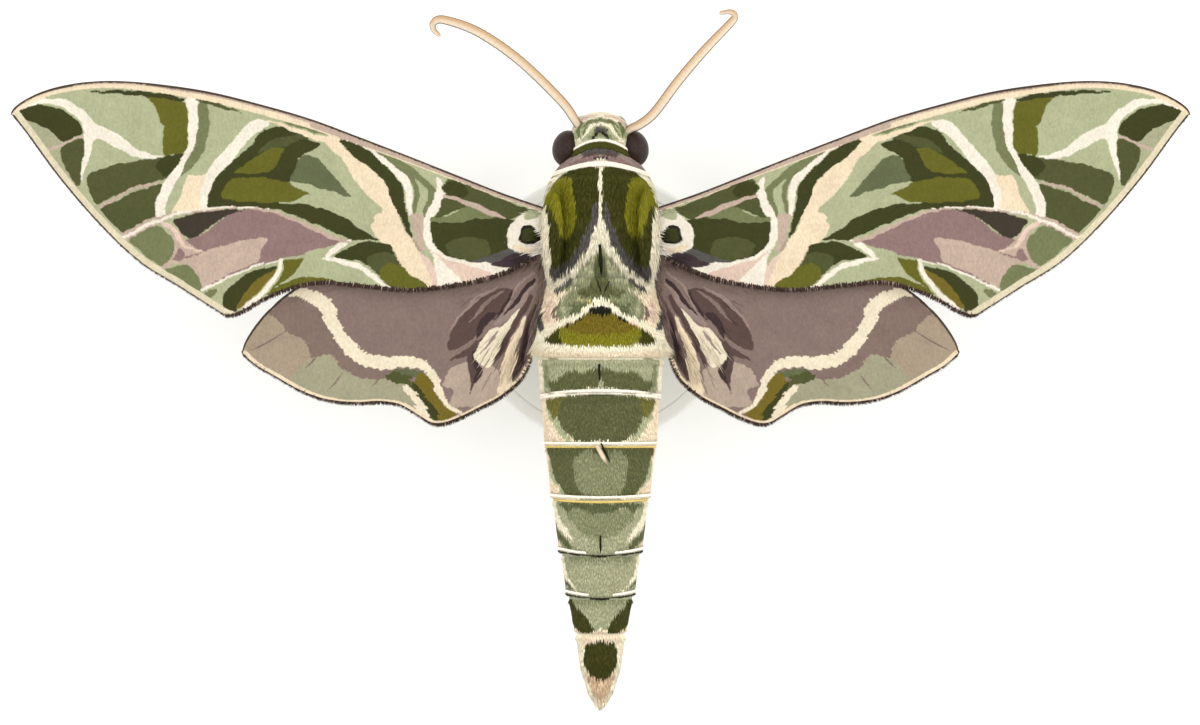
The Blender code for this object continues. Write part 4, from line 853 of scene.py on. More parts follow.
def lapped(tree, colour, chance, cloud, drift, grain, height, strength):
    """Finishes the cells as lapped scales, with soft clouds, a shade for each scale, and relief."""
    noise = add(tree, "ShaderNodeTexNoise", {"Scale": cloud, "Detail": 3.0}, {"Vector": in_mm(tree)})
    soft = add(tree, "ShaderNodeMapRange", {**MOST_NOISE, "To Min": drift[0], "To Max": drift[1]},
               {"Value": noise.outputs["Fac"]})
    own = add(tree, "ShaderNodeMapRange", {"To Min": grain[0], "To Max": grain[1]},
              {"Value": chance.outputs[1]})
    light = add(tree, "ShaderNodeMath", {"operation": "MULTIPLY"}, {0: soft.outputs[0], 1: own.outputs[0]})
    toned = add(tree, "ShaderNodeHueSaturation", None, {"Color": colour, "Value": light.outputs[0]})
    relief = add(tree, "ShaderNodeBump", {"Strength": strength, "Distance": 0.02 * MM}, {"Height": height})
    surface(tree, {"Roughness": 0.8, "Specular IOR Level": 0.2, "Sheen Weight": 0.04, "Sheen Roughness": 0.4},
            {"Base Color": toned.outputs[0], "Normal": relief.outputs[0]})


def wing_scales(name, names, turn):
    """Lapped wing scales: powdery, matt and slightly silky. Real ones are about 0.1 mm wide and 0.2 mm
    long; each cell here is one scale, and it is all one colour, so the pattern's edges are fringed."""
    made, tree = blank(name)
    cells, chance = scale_cells(tree, 0.13, 0.24, turn)
    nudge = add(tree, "ShaderNodeMapRange", {"To Min": -0.07, "To Max": 0.07}, {"Value": chance.outputs[0]})
    result = add(tree, "ShaderNodeAttribute", {"attribute_name": "tint"}).outputs["Color"]
    for each in names:
        depth = add(tree, "ShaderNodeAttribute", {"attribute_name": "in_" + each}).outputs["Fac"]
        ragged = add(tree, "ShaderNodeMath", {"operation": "ADD"}, {0: depth, 1: nudge.outputs[0]})
        inside = add(tree, "ShaderNodeMapRange", {"From Min": 0.0, "From Max": 0.06},
                     {"Value": ragged.outputs[0]})
        mixed = add(tree, "ShaderNodeMix", {"data_type": "RGBA", 7: linear(UPPER[each])},
                    {0: inside.outputs[0], 6: result})
        result = mixed.outputs[2]
    lap = add(tree, "ShaderNodeMapRange", {"From Max": 0.8, "To Min": 1.0, "To Max": 0.0},
              {"Value": cells.outputs["Distance"]})
    lapped(tree, result, chance, 0.45, (0.86, 0.96), (0.9, 1.07), lap.outputs[0], 0.35)
    return made


def under_scales(name, turn):
    """The under side's scales, a little larger, with the marks faded into a dusty olive."""
    made, tree = blank(name)
    cells, chance = scale_cells(tree, 0.14, 0.26, turn)
    tint = add(tree, "ShaderNodeAttribute", {"attribute_name": "tint"}).outputs["Color"]
    faded = add(tree, "ShaderNodeMix", {"data_type": "RGBA", 0: 0.6, 7: linear("#989170")}, {6: tint})
    lapped(tree, faded.outputs[2], chance, 0.35, (0.9, 1.06), (0.82, 1.08), cells.outputs["Distance"], 0.3)
    return made


def tinted(name, roughness, sheen, grain_mm, depth_mm):
    """Chitin under or in the coat: it takes the colour kept on the mesh, with a fine grain."""
    made, tree = blank(name)
    tint = add(tree, "ShaderNodeAttribute", {"attribute_name": "tint"}).outputs["Color"]
    grain = add(tree, "ShaderNodeTexNoise", {"Scale": 1 / grain_mm, "Detail": 2.0}, {"Vector": in_mm(tree)})
    light = add(tree, "ShaderNodeMapRange", {**MOST_NOISE, "To Min": 0.92, "To Max": 1.06},
                {"Value": grain.outputs["Fac"]})
    toned = add(tree, "ShaderNodeHueSaturation", None, {"Color": tint, "Value": light.outputs[0]})
    relief = add(tree, "ShaderNodeBump", {"Strength": 0.4, "Distance": depth_mm * MM},
                 {"Height": grain.outputs["Fac"]})
    surface(tree, {"Roughness": roughness, "Specular IOR Level": 0.12, "Sheen Weight": sheen,
                   "Sheen Roughness": 0.4, "IOR": 1.5},
            {"Base Color": toned.outputs[0], "Normal": relief.outputs[0]})
    return made


def compound_eye():
    """Clear cornea over dark pigment: glossy, cut in six-sided facets. Real facets are 0.03 mm across;
    here they are 0.11 mm, so that they show."""
    made, tree = blank("eye_cornea_chitin")
    facets = add(tree, "ShaderNodeTexVoronoi", {"Scale": 1 / 0.11, "Randomness": 0.25},
                 {"Vector": in_mm(tree)})
    rim = add(tree, "ShaderNodeMapRange", {"From Min": 0.25, "From Max": 0.65, "To Min": 1.0, "To Max": 0.0},
              {"Value": facets.outputs["Distance"]})
    patches = add(tree, "ShaderNodeTexNoise", {"Scale": 0.6, "Detail": 1.0}, {"Vector": in_mm(tree)})
    colour = add(tree, "ShaderNodeMix", {"data_type": "RGBA", 6: linear("#302119"), 7: linear("#453028")},
                 {0: patches.outputs["Fac"]})
    edge = add(tree, "ShaderNodeMix", {"data_type": "RGBA", 6: linear("#211816")},
               {0: rim.outputs[0], 7: colour.outputs[2]})
    relief = add(tree, "ShaderNodeBump", {"Strength": 0.5, "Distance": 0.015 * MM},
                 {"Height": rim.outputs[0]})
    surface(tree, {"Roughness": 0.5, "Specular IOR Level": 0.14, "Coat Weight": 0.06, "Coat Roughness": 0.15},
            {"Base Color": edge.outputs[2], "Normal": relief.outputs[0]})
    return made


def cast_acrylic():
    """Cast acrylic sheet, lathe cut and flame polished to a satin white, with faint turning marks."""
    made, tree = blank("cast_acrylic_white")
    wave = add(tree, "ShaderNodeTexWave", {"wave_type": "RINGS", "rings_direction": "Z", "Scale": 1.6,
                                           "Distortion": 0.2}, {"Vector": in_mm(tree)})
    dust = add(tree, "ShaderNodeTexNoise", {"Scale": 1 / 2.5, "Detail": 4.0}, {"Vector": in_mm(tree)})
    colour = add(tree, "ShaderNodeMix", {"data_type": "RGBA", 6: linear("#dedcd6"), 7: linear("#e6e5e0")},
                 {0: dust.outputs["Fac"]})
    rough = add(tree, "ShaderNodeMapRange", {"To Min": 0.3, "To Max": 0.42}, {"Value": dust.outputs["Fac"]})
    relief = add(tree, "ShaderNodeBump", {"Strength": 0.12, "Distance": 0.01 * MM},
                 {"Height": wave.outputs["Fac"]})
    surface(tree, {"IOR": 1.49, "Specular IOR Level": 0.5},
            {"Base Color": colour.outputs[2], "Roughness": rough.outputs[0], "Normal": relief.outputs[0]})
    return made


def turned_steel():
    """Stainless steel bar turned in a lathe: bright, with fine tool rings every 0.15 mm round the rod."""
    made, tree = blank("turned_stainless_steel")
    rings = add(tree, "ShaderNodeTexWave", {"bands_direction": "Z", "Scale": 2.1, "Distortion": 0.6},
                {"Vector": in_mm(tree)})
    stain = add(tree, "ShaderNodeTexNoise", {"Scale": 0.8, "Detail": 4.0}, {"Vector": in_mm(tree)})
    colour = add(tree, "ShaderNodeMix", {"data_type": "RGBA", 6: linear("#a8a7a6"), 7: linear("#c2c1be")},
                 {0: stain.outputs["Fac"]})
    rough = add(tree, "ShaderNodeMapRange", {"To Min": 0.24, "To Max": 0.4}, {"Value": rings.outputs["Fac"]})
    relief = add(tree, "ShaderNodeBump", {"Strength": 0.2, "Distance": 0.01 * MM},
                 {"Height": rings.outputs["Fac"]})
    surface(tree, {"Metallic": 1.0},
            {"Base Color": colour.outputs[2], "Roughness": rough.outputs[0], "Normal": relief.outputs[0]})
    return made


def studio_paper():
    """Matt white background paper."""
    made, tree = blank("studio_paper")
    fibre = add(tree, "ShaderNodeTexNoise", {"Scale": 1 / 6.0, "Detail": 5.0}, {"Vector": in_mm(tree)})
    colour = add(tree, "ShaderNodeMix", {"data_type": "RGBA", 6: linear("#f7f7f5"), 7: linear("#fbfbfa")},
                 {0: fibre.outputs["Fac"]})
    surface(tree, {"Roughness": 0.95, "Specular IOR Level": 0.1}, {"Base Color": colour.outputs[2]})
    return made


# ---- The wings ----

# Each wing is ruled between a leading and a trailing edge: its ribs, from root to tip
FOREWING_RIBS = [
    ((4.2, -8.9), (4.2, -4.6)), ((5.9, -9.4), (5.9, -4.2)), ((9.4, -10.6), (9.4, -2.5)),
    ((13.1, -12.05), (13.1, -1.6)), ((17.8, -13.9), (17.8, -1.1)), ((22.5, -15.7), (22.5, -1.5)),
    ((27.1, -17.4), (26.2, -1.8)), ((31.8, -18.75), (29.0, -1.2)), ((36.5, -19.9), (31.4, -0.2)),
    ((41.2, -20.6), (33.2, 0.85)), ((45.0, -20.9), (34.7, 1.3)), ((48.0, -20.8), (36.0, 0.6)),
    ((50.5, -20.4), (39.3, -1.5)), ((52.2, -19.9), (43.1, -3.9)), ((53.5, -19.3), (46.8, -7.4)),
    ((54.3, -18.8), (50.5, -11.7)), ((54.8, -18.35), (53.35, -15.6)), ((55.0, -18.0), (54.8, -17.5)),
]
HINDWING_RIBS = [
    ((4.8, -5.0), (4.8, -0.8)), ((6.25, -5.1), (5.7, 0.6)), ((7.6, -4.6), (6.05, 3.4)),
    ((9.0, -4.0), (6.45, 5.5)), ((10.6, -3.6), (7.35, 7.25)), ((12.2, -3.55), (9.25, 8.9)),
    ((14.0, -3.5), (11.3, 10.0)), ((15.8, -3.5), (13.1, 10.9)), ((17.6, -3.45), (14.7, 11.45)),
    ((19.4, -3.4), (15.8, 11.4)), ((21.2, -3.3), (16.9, 10.75)), ((23.0, -3.15), (18.7, 9.7)),
    ((24.8, -2.9), (20.6, 9.4)), ((26.5, -2.5), (22.5, 9.5)), ((28.2, -1.8), (24.4, 9.4)),
    ((29.8, -0.7), (26.2, 9.05)), ((31.2, 0.6), (28.1, 8.3)), ((32.3, 1.9), (30.4, 7.0)),
    ((33.2, 3.3), (32.3, 5.9)), ((33.55, 4.3), (33.5, 4.8)),
]
# How far out both wings join the body
WING_ROOT_OUT = 5.9
# How thick the membrane is, and how far short of the trailing edge it stops to leave room for the fringe
MEMBRANE, FRINGE_REACH = 0.22, 0.45
# How far behind the leading edge it starts, and how far apart the fringe's scales are along the edge
LEAD_GAP, FRINGE_PITCH = 0.05, 0.022
# The height of a vein's narrow ridge, and the same again for the soft rise under it
VEIN_HEIGHT = 0.07
UPWARD = np.array([0.0, 0.0, 1.0])


def arch(out):
    """How high a wing stands: it rises from the root and droops a little at the tip."""
    share = (out - WING_ROOT_OUT) / (HALF_SPAN - WING_ROOT_OUT)
    return 2.6 + 5.0 * share * (1 - 0.7 * share)


def forewing_up(out, aft, chord):
    """The forewing's upper side, arched from front to rear and lower at the rear."""
    return arch(out) + 0.45 * 4 * chord * (1 - chord) - 0.5 * chord**2


def hindwing_up(out, aft, chord):
    """The hindwing's upper side, under the forewing and sloping down to the rear."""
    return arch(out) - 1.45 - 0.08 * (aft + 3.9)


# What differs between the two kinds of wing. "columns" and "rows" are its mesh's points along and
# across it, "outer_from" is where its outer margin starts, "turn" is the angle its scales lie at, and
# "fringe_from" is how far out its fringe starts.
WINGS = {
    "forewing": {
        "ribs": FOREWING_RIBS, "up": forewing_up, "marks": FOREWING_MARKS, "ground": "sage",
        "veins": FOREWING_VEINS, "columns": 285, "rows": 122, "outer_from": (34.7, 1.3), "turn": -0.6,
        "fringe_from": 5.6,
    },
    "hindwing": {
        "ribs": HINDWING_RIBS, "up": hindwing_up, "marks": HINDWING_MARKS, "ground": "brown",
        "veins": HINDWING_VEINS, "columns": 185, "rows": 104, "outer_from": (6.45, 5.5), "turn": -0.9,
        "fringe_from": 5.7,
    },
}


def paces(line):
    """How far along a line each of its points is."""
    return np.concatenate([[0], np.cumsum(np.linalg.norm(np.diff(line, axis=0), axis=1))])


def at_paces(at, pace, rows):
    """Rows of numbers known at some paces, at other paces."""
    return np.stack([np.interp(at, pace, column) for column in rows.T], axis=1)


def edge_lines(ribs, columns):
    """The leading and trailing edges (out, aft) at evenly spaced columns."""
    whole = smooth_line([(*lead, *trail) for lead, trail in ribs], 24)
    pace = paces(whole)
    whole = at_paces(np.linspace(0, pace[-1], columns), pace, whole)
    return whole[:, :2], whole[:, 2:]


def distance_to_line(points, line):
    """Each point's distance to a line, counted only near it."""
    nearest = np.full(len(points), FAR)
    for start, end in zip(line[:-1], line[1:]):
        near = within(points, np.minimum(start, end), np.maximum(start, end))
        if near.any():
            nearest[near] = np.minimum(nearest[near], along_segment(points[near], start, end)[0])
    return nearest


def wing_pattern(kind, plan, from_lead):
    """The marks of a wing, with its bright front edge, its margins, its folds and its rim."""
    parts = WINGS[kind]
    points = plan if kind == "forewing" else plan + torn(plan)
    pattern = Pattern(points, parts["marks"], parts["ground"])
    lead, trail = edge_lines(parts["ribs"], 240)
    start = np.argmin(np.linalg.norm(trail - parts["outer_from"], axis=1))
    margin = distance_to_line(plan, trail[start:])
    if kind == "forewing":
        depth = read_off(plan[:, 0], COSTAL_STRIP)
        pattern.claim("margin", OUTER_STRIP - margin)
        pattern.claim("cream", REAR_STRIP - distance_to_line(plan, trail[:start]))
        pattern.claim("peach", depth - from_lead)
        pattern.claim("pink_beige", np.where(plan[:, 0] > 27, depth * 0.45, depth * 0.9) - from_lead)
    else:
        for outer, inner in HINDWING_FOLDS:
            middle = ((outer[0] + inner[0]) / 2, (outer[1] + inner[1]) / 2 + 0.1)
            fold = [(*outer, 0.02), (*middle, 0.16), (*inner, 0.02)]
            pattern.claim("brown_shade", reach_into_band(plan, fold))
        pattern.claim("peach", HINDWING_STRIP - margin)
    pattern.claim("rim", RIM - np.minimum(margin, from_lead))
    return pattern


def make_wing(kind, name, side, finishes):
    """A membrane between the two edges, raised along its veins and its leading edge."""
    parts = WINGS[kind]
    columns, rows = parts["columns"], parts["rows"]
    lead, trail = edge_lines(parts["ribs"], columns)
    bm = bmesh.new()
    bmesh.ops.create_grid(bm, x_segments=columns - 1, y_segments=rows - 1, size=0.5)
    mesh = mesh_of(bm, name)
    flat = positions(mesh)
    column = np.rint((flat[:, 0] + 0.5) * (columns - 1)).astype(int)
    span = np.linalg.norm(trail - lead, axis=1)[column]
    inset = np.minimum(FRINGE_REACH, 0.3 * span)
    chord = (LEAD_GAP + (flat[:, 1] + 0.5) * (span - LEAD_GAP - inset)) / span
    plan = lead[column] + (trail - lead)[column] * chord[:, None]
    from_lead = chord * span
    up = parts["up"](plan[:, 0], plan[:, 1], chord)
    for vein in parts["veins"]:
        gap = distance_to_line(plan, smooth_line(vein, 6))
        up += VEIN_HEIGHT * swell(gap, 0.2) + VEIN_HEIGHT * swell(gap, 1.0)
    up += 2 * VEIN_HEIGHT * swell(from_lead, 0.35)
    set_positions(mesh, place(np.column_stack([plan, up]), side))
    if side < 0:
        mesh.flip_normals()
    pattern = wing_pattern(kind, plan, from_lead)
    store(mesh, "tint", pattern.colours(UPPER))
    for colour, depth in pattern.depth.items():
        store(mesh, "in_" + colour, np.clip(depth, -0.8, 0.8))
    sheet = bpy.data.objects.new(name + "_sheet", mesh)
    bpy.context.scene.collection.objects.link(sheet)
    shell = sheet.modifiers.new("membrane", "SOLIDIFY")
    shell.thickness, shell.offset = MEMBRANE * MM, -1.0
    whole = bpy.data.meshes.new_from_object(sheet.evaluated_get(bpy.context.evaluated_depsgraph_get()))
    bpy.data.objects.remove(sheet)
    whole.name = name
    level = np.empty(len(whole.polygons) * 3, np.float32)
    whole.polygons.foreach_get("normal", level)
    under = level.reshape(-1, 3)[:, 2] < -0.3
    whole.polygons.foreach_set("material_index", under.astype(np.int32))
    low, high = plan.min(0), plan.max(0)
    corner = np.empty(len(whole.loops), np.int32)
    whole.loops.foreach_get("vertex_index", corner)
    spot = positions(whole)[corner, :2] / MM * (side, 1)
    unwrap = 0.01 + 0.98 * (spot - low) / (high - low)
    unwrap[:, 1] *= 0.5
    unwrap[np.repeat(under, [p.loop_total for p in whole.polygons]), 1] += 0.5
    keep_unwrap(whole, unwrap)
    if kind not in finishes:
        finishes[kind] = [wing_scales("wing_scales_" + kind, list(pattern.depth), parts["turn"]),
                          under_scales("wing_scales_under_" + kind, parts["turn"])]
    finished(name, whole, finishes[kind], [name])


def make_fringe(kind, name, side, finish):
    """The fringe of narrow scales along a wing's rear and outer edges, in two lengths."""
    parts = WINGS[kind]
    lead, trail = edge_lines(parts["ribs"][1:], 900)
    span = np.linalg.norm(trail - lead, axis=1)
    pace = paces(trail)
    count = int(pace[-1] / FRINGE_PITCH)
    at = (np.arange(count) + rng.uniform(0, 0.9, count)) / count * pace[-1]
    at = at[np.interp(at, pace, trail[:, 0]) > parts["fringe_from"]]
    count = len(at)
    spot = at_paces(at, pace, trail)
    heading = unit(at_paces(at, pace, np.gradient(trail, pace, axis=0)))
    outside = np.stack([-heading[:, 1], heading[:, 0]], axis=1)
    ray = at_paces(at, pace, unit(trail - lead))
    outside *= np.sign(np.sum(outside * ray, axis=1))[:, None]
    width = np.interp(at, pace, span)
    long = rng.random(count) < 0.5
    back = np.minimum(0.72, 0.35 * width)
    root = spot - outside * back[:, None]
    chord = np.clip(1 - back / width, 0, 1)
    up = parts["up"](root[:, 0], root[:, 1], chord) - MEMBRANE / 2 + rng.uniform(-0.06, 0.09, count)
    lean = outside + heading * rng.normal(0.1, 0.06, count)[:, None]
    along = unit(np.column_stack([lean, rng.normal(-0.03, 0.05, count)]))
    face = UPWARD + rng.normal(0, 0.2, (count, 3))
    length = (back + 0.02) * np.where(long, 1.0, 0.88) * rng.uniform(0.97, 1.03, count)
    shades = np.array([rgb(UPPER[each]) for each in ("rim", "mauve", "pink_beige")])
    colour = shades[rng.choice(3, count, p=(0.8, 0.14, 0.06))] * rng.uniform(0.85, 1.1, (count, 1))
    spots = np.column_stack([0.02 + 0.96 * at / pace[-1], 0.3 + 0.4 * rng.random(count)])
    coat(name + "_fringe", np.column_stack([root, up]), along, face, length, np.full(count, 0.13), colour,
         spots, finish, side=side, fade=(0.9, 1.0))


# ---- The body ----

# Rings of the whole body, nose to tail: (aft, half width, top, bottom)
BODY_RINGS = np.array([
    (-18.3, 0.2, 0.1, -0.5), (-18.05, 1.2, 0.6, -0.9), (-17.75, 2.0, 1.3, -1.9), (-17.1, 2.75, 2.1, -2.7),
    (-16.0, 3.0, 2.7, -3.2), (-14.3, 3.0, 3.1, -3.4), (-14.0, 3.3, 3.3, -3.6), (-13.2, 4.1, 3.8, -4.1),
    (-12.4, 4.7, 4.4, -4.6), (-12.1, 4.9, 4.6, -4.7), (-11.0, 5.4, 5.2, -5.2), (-9.3, 5.7, 5.7, -5.7),
    (-7.0, 5.6, 6.0, -5.9), (-4.8, 5.4, 5.9, -5.7), (-3.0, 5.3, 5.5, -5.4), (-2.7, 5.3, 5.3, -5.3),
    (-1.4, 5.6, 5.0, -5.1), (-0.3, 5.8, 4.8, -5.0), (0.0, 5.9, 4.8, -5.0), (3.6, 6.5, 5.3, -5.3),
    (4.5, 6.7, 5.4, -5.35), (5.1, 6.2, 5.3, -5.3),
    (8.3, 5.85, 5.3, -5.2), (13.2, 5.45, 5.0, -5.0), (18.2, 4.8, 4.5, -4.5), (23.5, 4.0, 3.8, -3.8),
    (27.5, 3.3, 3.1, -3.2), (30.9, 2.55, 2.4, -2.6), (34.0, 2.1, 1.9, -2.1), (36.2, 1.4, 1.2, -1.4),
    (37.2, 0.75, 0.6, -0.8), (37.6, 0.3, 0.2, -0.35), (37.7, 0.05, 0.0, -0.1),
])
NOSE, TAIL = BODY_RINGS[0, 0], BODY_RINGS[-1, 0]
# Where the segments of the body end: head, collar, thorax, metathorax and the abdomen's first seven
SEGMENT_ENDS = [-14.2, -12.25, -2.85, -0.15, 4.9, 8.15, 13.05, 18.05, 23.35, 27.35, 30.75]
# How deep the coat lies over the skin, and how long its scales are, at points aft
COAT_DEPTH = [(-18.3, 0.12), (-17.0, 0.22), (-14.3, 0.28), (-12.5, 0.35), (-10.0, 0.45), (-3.0, 0.42),
              (0.0, 0.3), (20.0, 0.26), (30.0, 0.24), (35.0, 0.2), (37.7, 0.02)]
SCALE_LENGTH = [(-18.3, 0.4), (-17.0, 0.48), (-14.6, 0.5), (-13.5, 0.6), (-11.5, 1.0), (-4.0, 1.2),
                (-1.0, 0.8), (1.0, 0.65), (20.0, 0.6), (30.5, 0.62), (34.0, 0.9), (37.0, 1.1)]
# Where the flanks wear a ruff of longer scales that stand out
RUFFS = (0.2, 3.7)
# Stretches of the coat: (from, to, row step, gap round the body, scale width)
COAT_STRETCHES = {
    "head": (-18.2, -14.3, 0.12, 0.1, 0.1), "collar": (-14.3, -12.3, 0.13, 0.11, 0.11),
    "thorax_front": (-12.3, -7.6, 0.2, 0.12, 0.16), "thorax_rear": (-7.6, -2.9, 0.2, 0.12, 0.16),
    "waist": (-2.9, -0.1, 0.18, 0.12, 0.15), "abdomen_front": (-0.1, 8.2, 0.17, 0.12, 0.13),
    "abdomen_middle": (8.2, 18.1, 0.17, 0.12, 0.13), "abdomen_rear": (18.1, 30.8, 0.17, 0.12, 0.13),
    "tail": (30.8, 37.5, 0.14, 0.1, 0.11),
}
# How much the coat's scales lift off the body, and how bright the skin is in their shadow
COAT_LIFT, SKIN_SHADE = 0.1, 0.85
# The belly's colours, and the angle from the back where it starts
BELLY, BELLY_BANDS, BELLY_LINE, BELLY_FROM = "#a3a384", "#d4ccb3", "#d0c6ac", 1.95


def outline_at(aft):
    """The body's half width, top and bottom, eased a little from ring to ring."""
    middle = aft[:, None]
    near = middle + np.array([-0.45, -0.22, 0.0, 0.22, 0.45])
    ease = np.where((aft < NOSE + 0.6) | (aft > TAIL - 0.6), 0.25, 1.0)[:, None]
    near = ease * (near - middle) + middle
    return [np.interp(near, BODY_RINGS[:, 0], BODY_RINGS[:, k]).mean(axis=1) for k in (1, 2, 3)]


def girth(aft, turn):
    """About how far it is round the body over its back, from minus one angle to plus the same."""
    width, top, bottom = (v[0] for v in outline_at(np.array([aft])))
    return turn * (width + (top - bottom) / 2)


def body_points(aft, angle, inset):
    """Points on the body at angles round it from its back, inset in mm from the coat's outside. Each segment
    of the abdomen widens a little to its rear edge, where it laps over the next."""
    width, top, bottom = outline_at(aft)
    groove = sum(0.15 * swell(aft - end, 0.22) for end in SEGMENT_ENDS[4:])
    groove = groove + sum(0.05 * swell(aft - end, 0.3) for end in SEGMENT_ENDS[:4])
    ends = np.array(SEGMENT_ENDS[3:])
    at = np.clip(np.searchsorted(ends, aft), 1, len(ends) - 1)
    share = (aft - ends[at - 1]) / (ends[at] - ends[at - 1])
    lap = np.where((share > 0) & (share < 1), 0.15 * (share - 0.5), 0.0)
    shrink = np.minimum(inset + groove - lap, 0.8 * width)
    wide, tall = width - shrink, (top - bottom) / 2 - shrink
    return np.stack([wide * np.sin(angle), aft, (top + bottom) / 2 + tall * np.cos(angle)], axis=1)


def body_frame(aft, angle, inset):
    """Points on the body with the direction aft along the surface and the direction out of it."""
    spot = body_points(aft, angle, inset)
    ahead = body_points(np.maximum(aft - 0.05, NOSE), angle, inset)
    rear = unit(body_points(np.minimum(aft + 0.05, TAIL), angle, inset) - ahead)
    round_it = body_points(aft, angle + 0.01, inset) - body_points(aft, angle - 0.01, inset)
    out = np.cross(rear, round_it)
    length = np.linalg.norm(out, axis=1, keepdims=True)
    centre = np.column_stack([np.zeros(len(aft)), aft, np.zeros(len(aft))])
    out /= np.maximum(length, 1e-9)
    out *= np.sign(np.sum(out * (spot - centre), axis=1))[:, None]
    return spot, rear, out


def body_colours(spot):
    """The coat's colours at points (out, aft, up): the marks, laid straight down from above, and a pale
    belly with cream bands and a cream line."""
    width, top, bottom = outline_at(spot[:, 1])
    turn = np.abs(np.arctan2(spot[:, 0], spot[:, 2] - (top + bottom) / 2))
    out = np.where(turn > 1.4, 0.97 * width, np.minimum(np.abs(spot[:, 0]), 0.97 * width))
    marks = Pattern(np.column_stack([out, spot[:, 1]]), BODY_MARKS, "pale_sage")
    edge = turn + 0.08 * np.sin(spot[:, 1] * 4.1) + 0.05 * np.sin(spot[:, 1] * 9.7)
    bands = np.min([np.abs(spot[:, 1] - end - 0.1) for end in SEGMENT_ENDS], axis=0)
    belly = np.where((bands < 0.35)[:, None], rgb(BELLY_BANDS), rgb(BELLY))
    belly = np.where((edge > math.pi - 0.14)[:, None], rgb(BELLY_LINE), belly)
    share = np.clip((edge - BELLY_FROM) / 0.12, 0, 1)[:, None]
    return blend(marks.colours({**UPPER, **COAT_TINTS}), belly, share)


def make_body_skin(finish):
    """One skin from nose to tail under the coat, pinched a little where segments meet."""
    bm = bmesh.new()
    bmesh.ops.create_uvsphere(bm, u_segments=80, v_segments=230, radius=1.0)
    mesh = mesh_of(bm, "body_skin")
    ball = positions(mesh)
    share = np.arccos(np.clip(ball[:, 2], -1, 1)) / math.pi
    aft = NOSE + 0.1 + (TAIL - NOSE - 0.2) * (share - 0.012 * np.sin(2 * math.pi * share))
    angle = np.arctan2(ball[:, 0], ball[:, 1])
    spot = body_points(aft, angle, read_off(aft, COAT_DEPTH))
    poles = (share < 1e-4) | (share > 1 - 1e-4)
    spot[poles, 0] = 0.0
    set_positions(mesh, place(spot))
    store(mesh, "tint", body_colours(spot) * SKIN_SHADE)
    outward(mesh)
    nodes = ["head", "collar", "thorax", "metathorax"] + [f"abdomen_{n}" for n in range(1, 9)]
    finished("body_skin", mesh, finish, nodes)


def scatter(low, high, step, gap):
    """Staggered rows of places (aft, angle) round the body, a little out of order."""
    found = []
    for number, aft in enumerate(np.arange(low, high, step)):
        count = max(int(girth(aft, math.pi) / gap), 6)
        angle = (np.arange(count) + 0.5 * (number % 2)) / count * 2 * math.pi - math.pi
        angle = angle + rng.uniform(-0.4, 0.4, count) * 2 * math.pi / count
        found.append(np.column_stack([aft + rng.uniform(-0.5, 0.5, count) * step, angle]))
    return np.clip(np.vstack(found), (NOSE + 0.12, -9), (TAIL - 0.15, 9))


def make_body_coat(name, low, high, step, gap, width, finish):
    """The scale hairs of one stretch of the body, lying towards the tail, none far over its segment."""
    aft, angle = scatter(low, high, step, gap).T
    root, rear, out = body_frame(aft, angle, read_off(aft, COAT_DEPTH))
    count = len(aft)
    length = read_off(aft, SCALE_LENGTH) * rng.uniform(0.75, 1.2, count)
    length = length * np.where(np.abs(angle) > 2.0, 0.85, 1.0)
    ends = np.array(SEGMENT_ENDS[4:] + [math.inf])
    room = ends[np.searchsorted(ends, aft)] + 0.12 - aft
    length = np.minimum(length, np.maximum(room, 0.2))
    across = np.cross(rear, out)
    ruff = swell(np.abs(angle) - 1.45, 0.4) * sum(swell(aft - at, 0.7) for at in RUFFS)
    length = length * (1 + 0.9 * ruff)
    along = rear + across * (rng.normal(0, 0.13, count) + 0.3 * ruff * np.sign(angle))[:, None]
    along = along + out * (COAT_LIFT + rng.normal(0, 0.05, count) + 0.5 * ruff)[:, None]
    unwrap = np.column_stack([0.01 + 0.98 * (np.mod(angle + math.pi, 2 * math.pi) / (2 * math.pi)),
                              0.02 + 0.96 * (aft - low) / (high - low)])
    coat(name, root - out * 0.02, unit(along), out, length, width * rng.uniform(0.8, 1.25, count),
         body_colours, unwrap, finish, curl=-0.25 * COAT_LIFT)


def make_joint_rows(finish):
    """Close rows of short scales along the edges of the segments, over back and flanks."""
    root, along, out, length, colour, spots = [], [], [], [], [], []
    for number, (aft, bow, long, name, from_turn, to_turn) in enumerate(JOINT_ROWS):
        count = int(girth(aft, FLANK) / 0.03)
        turn = np.linspace(-FLANK, FLANK, count) + rng.uniform(-0.3, 0.3, count) * (2 * FLANK) / count
        turn = turn[(np.abs(turn) > from_turn) & (np.abs(turn) < to_turn)]
        count = len(turn)
        where = aft + bow * np.sin(turn) ** 2 + rng.uniform(-0.02, 0.02, count)
        spot, rear, normal = body_frame(where, turn, read_off(where, COAT_DEPTH) - 0.17)
        root.append(spot)
        along.append(unit(rear + normal * 0.1 + rng.normal(0, 0.03, (count, 3))))
        out.append(normal)
        length.append(long * rng.uniform(0.9, 1.1, count))
        colour.append(rgb(UPPER[name]) * rng.uniform(0.92, 1.05, (count, 1)))
        row = np.full(count, (number + 0.5) / len(JOINT_ROWS))
        spots.append(np.column_stack([0.02 + 0.96 * (turn + FLANK) / (2 * FLANK), row]))
    length = np.concatenate(length)
    coat("joint_rows", np.vstack(root), np.vstack(along), np.vstack(out), length, np.full(len(length), 0.12),
         np.vstack(colour), np.vstack(spots), finish, curl=-0.1)


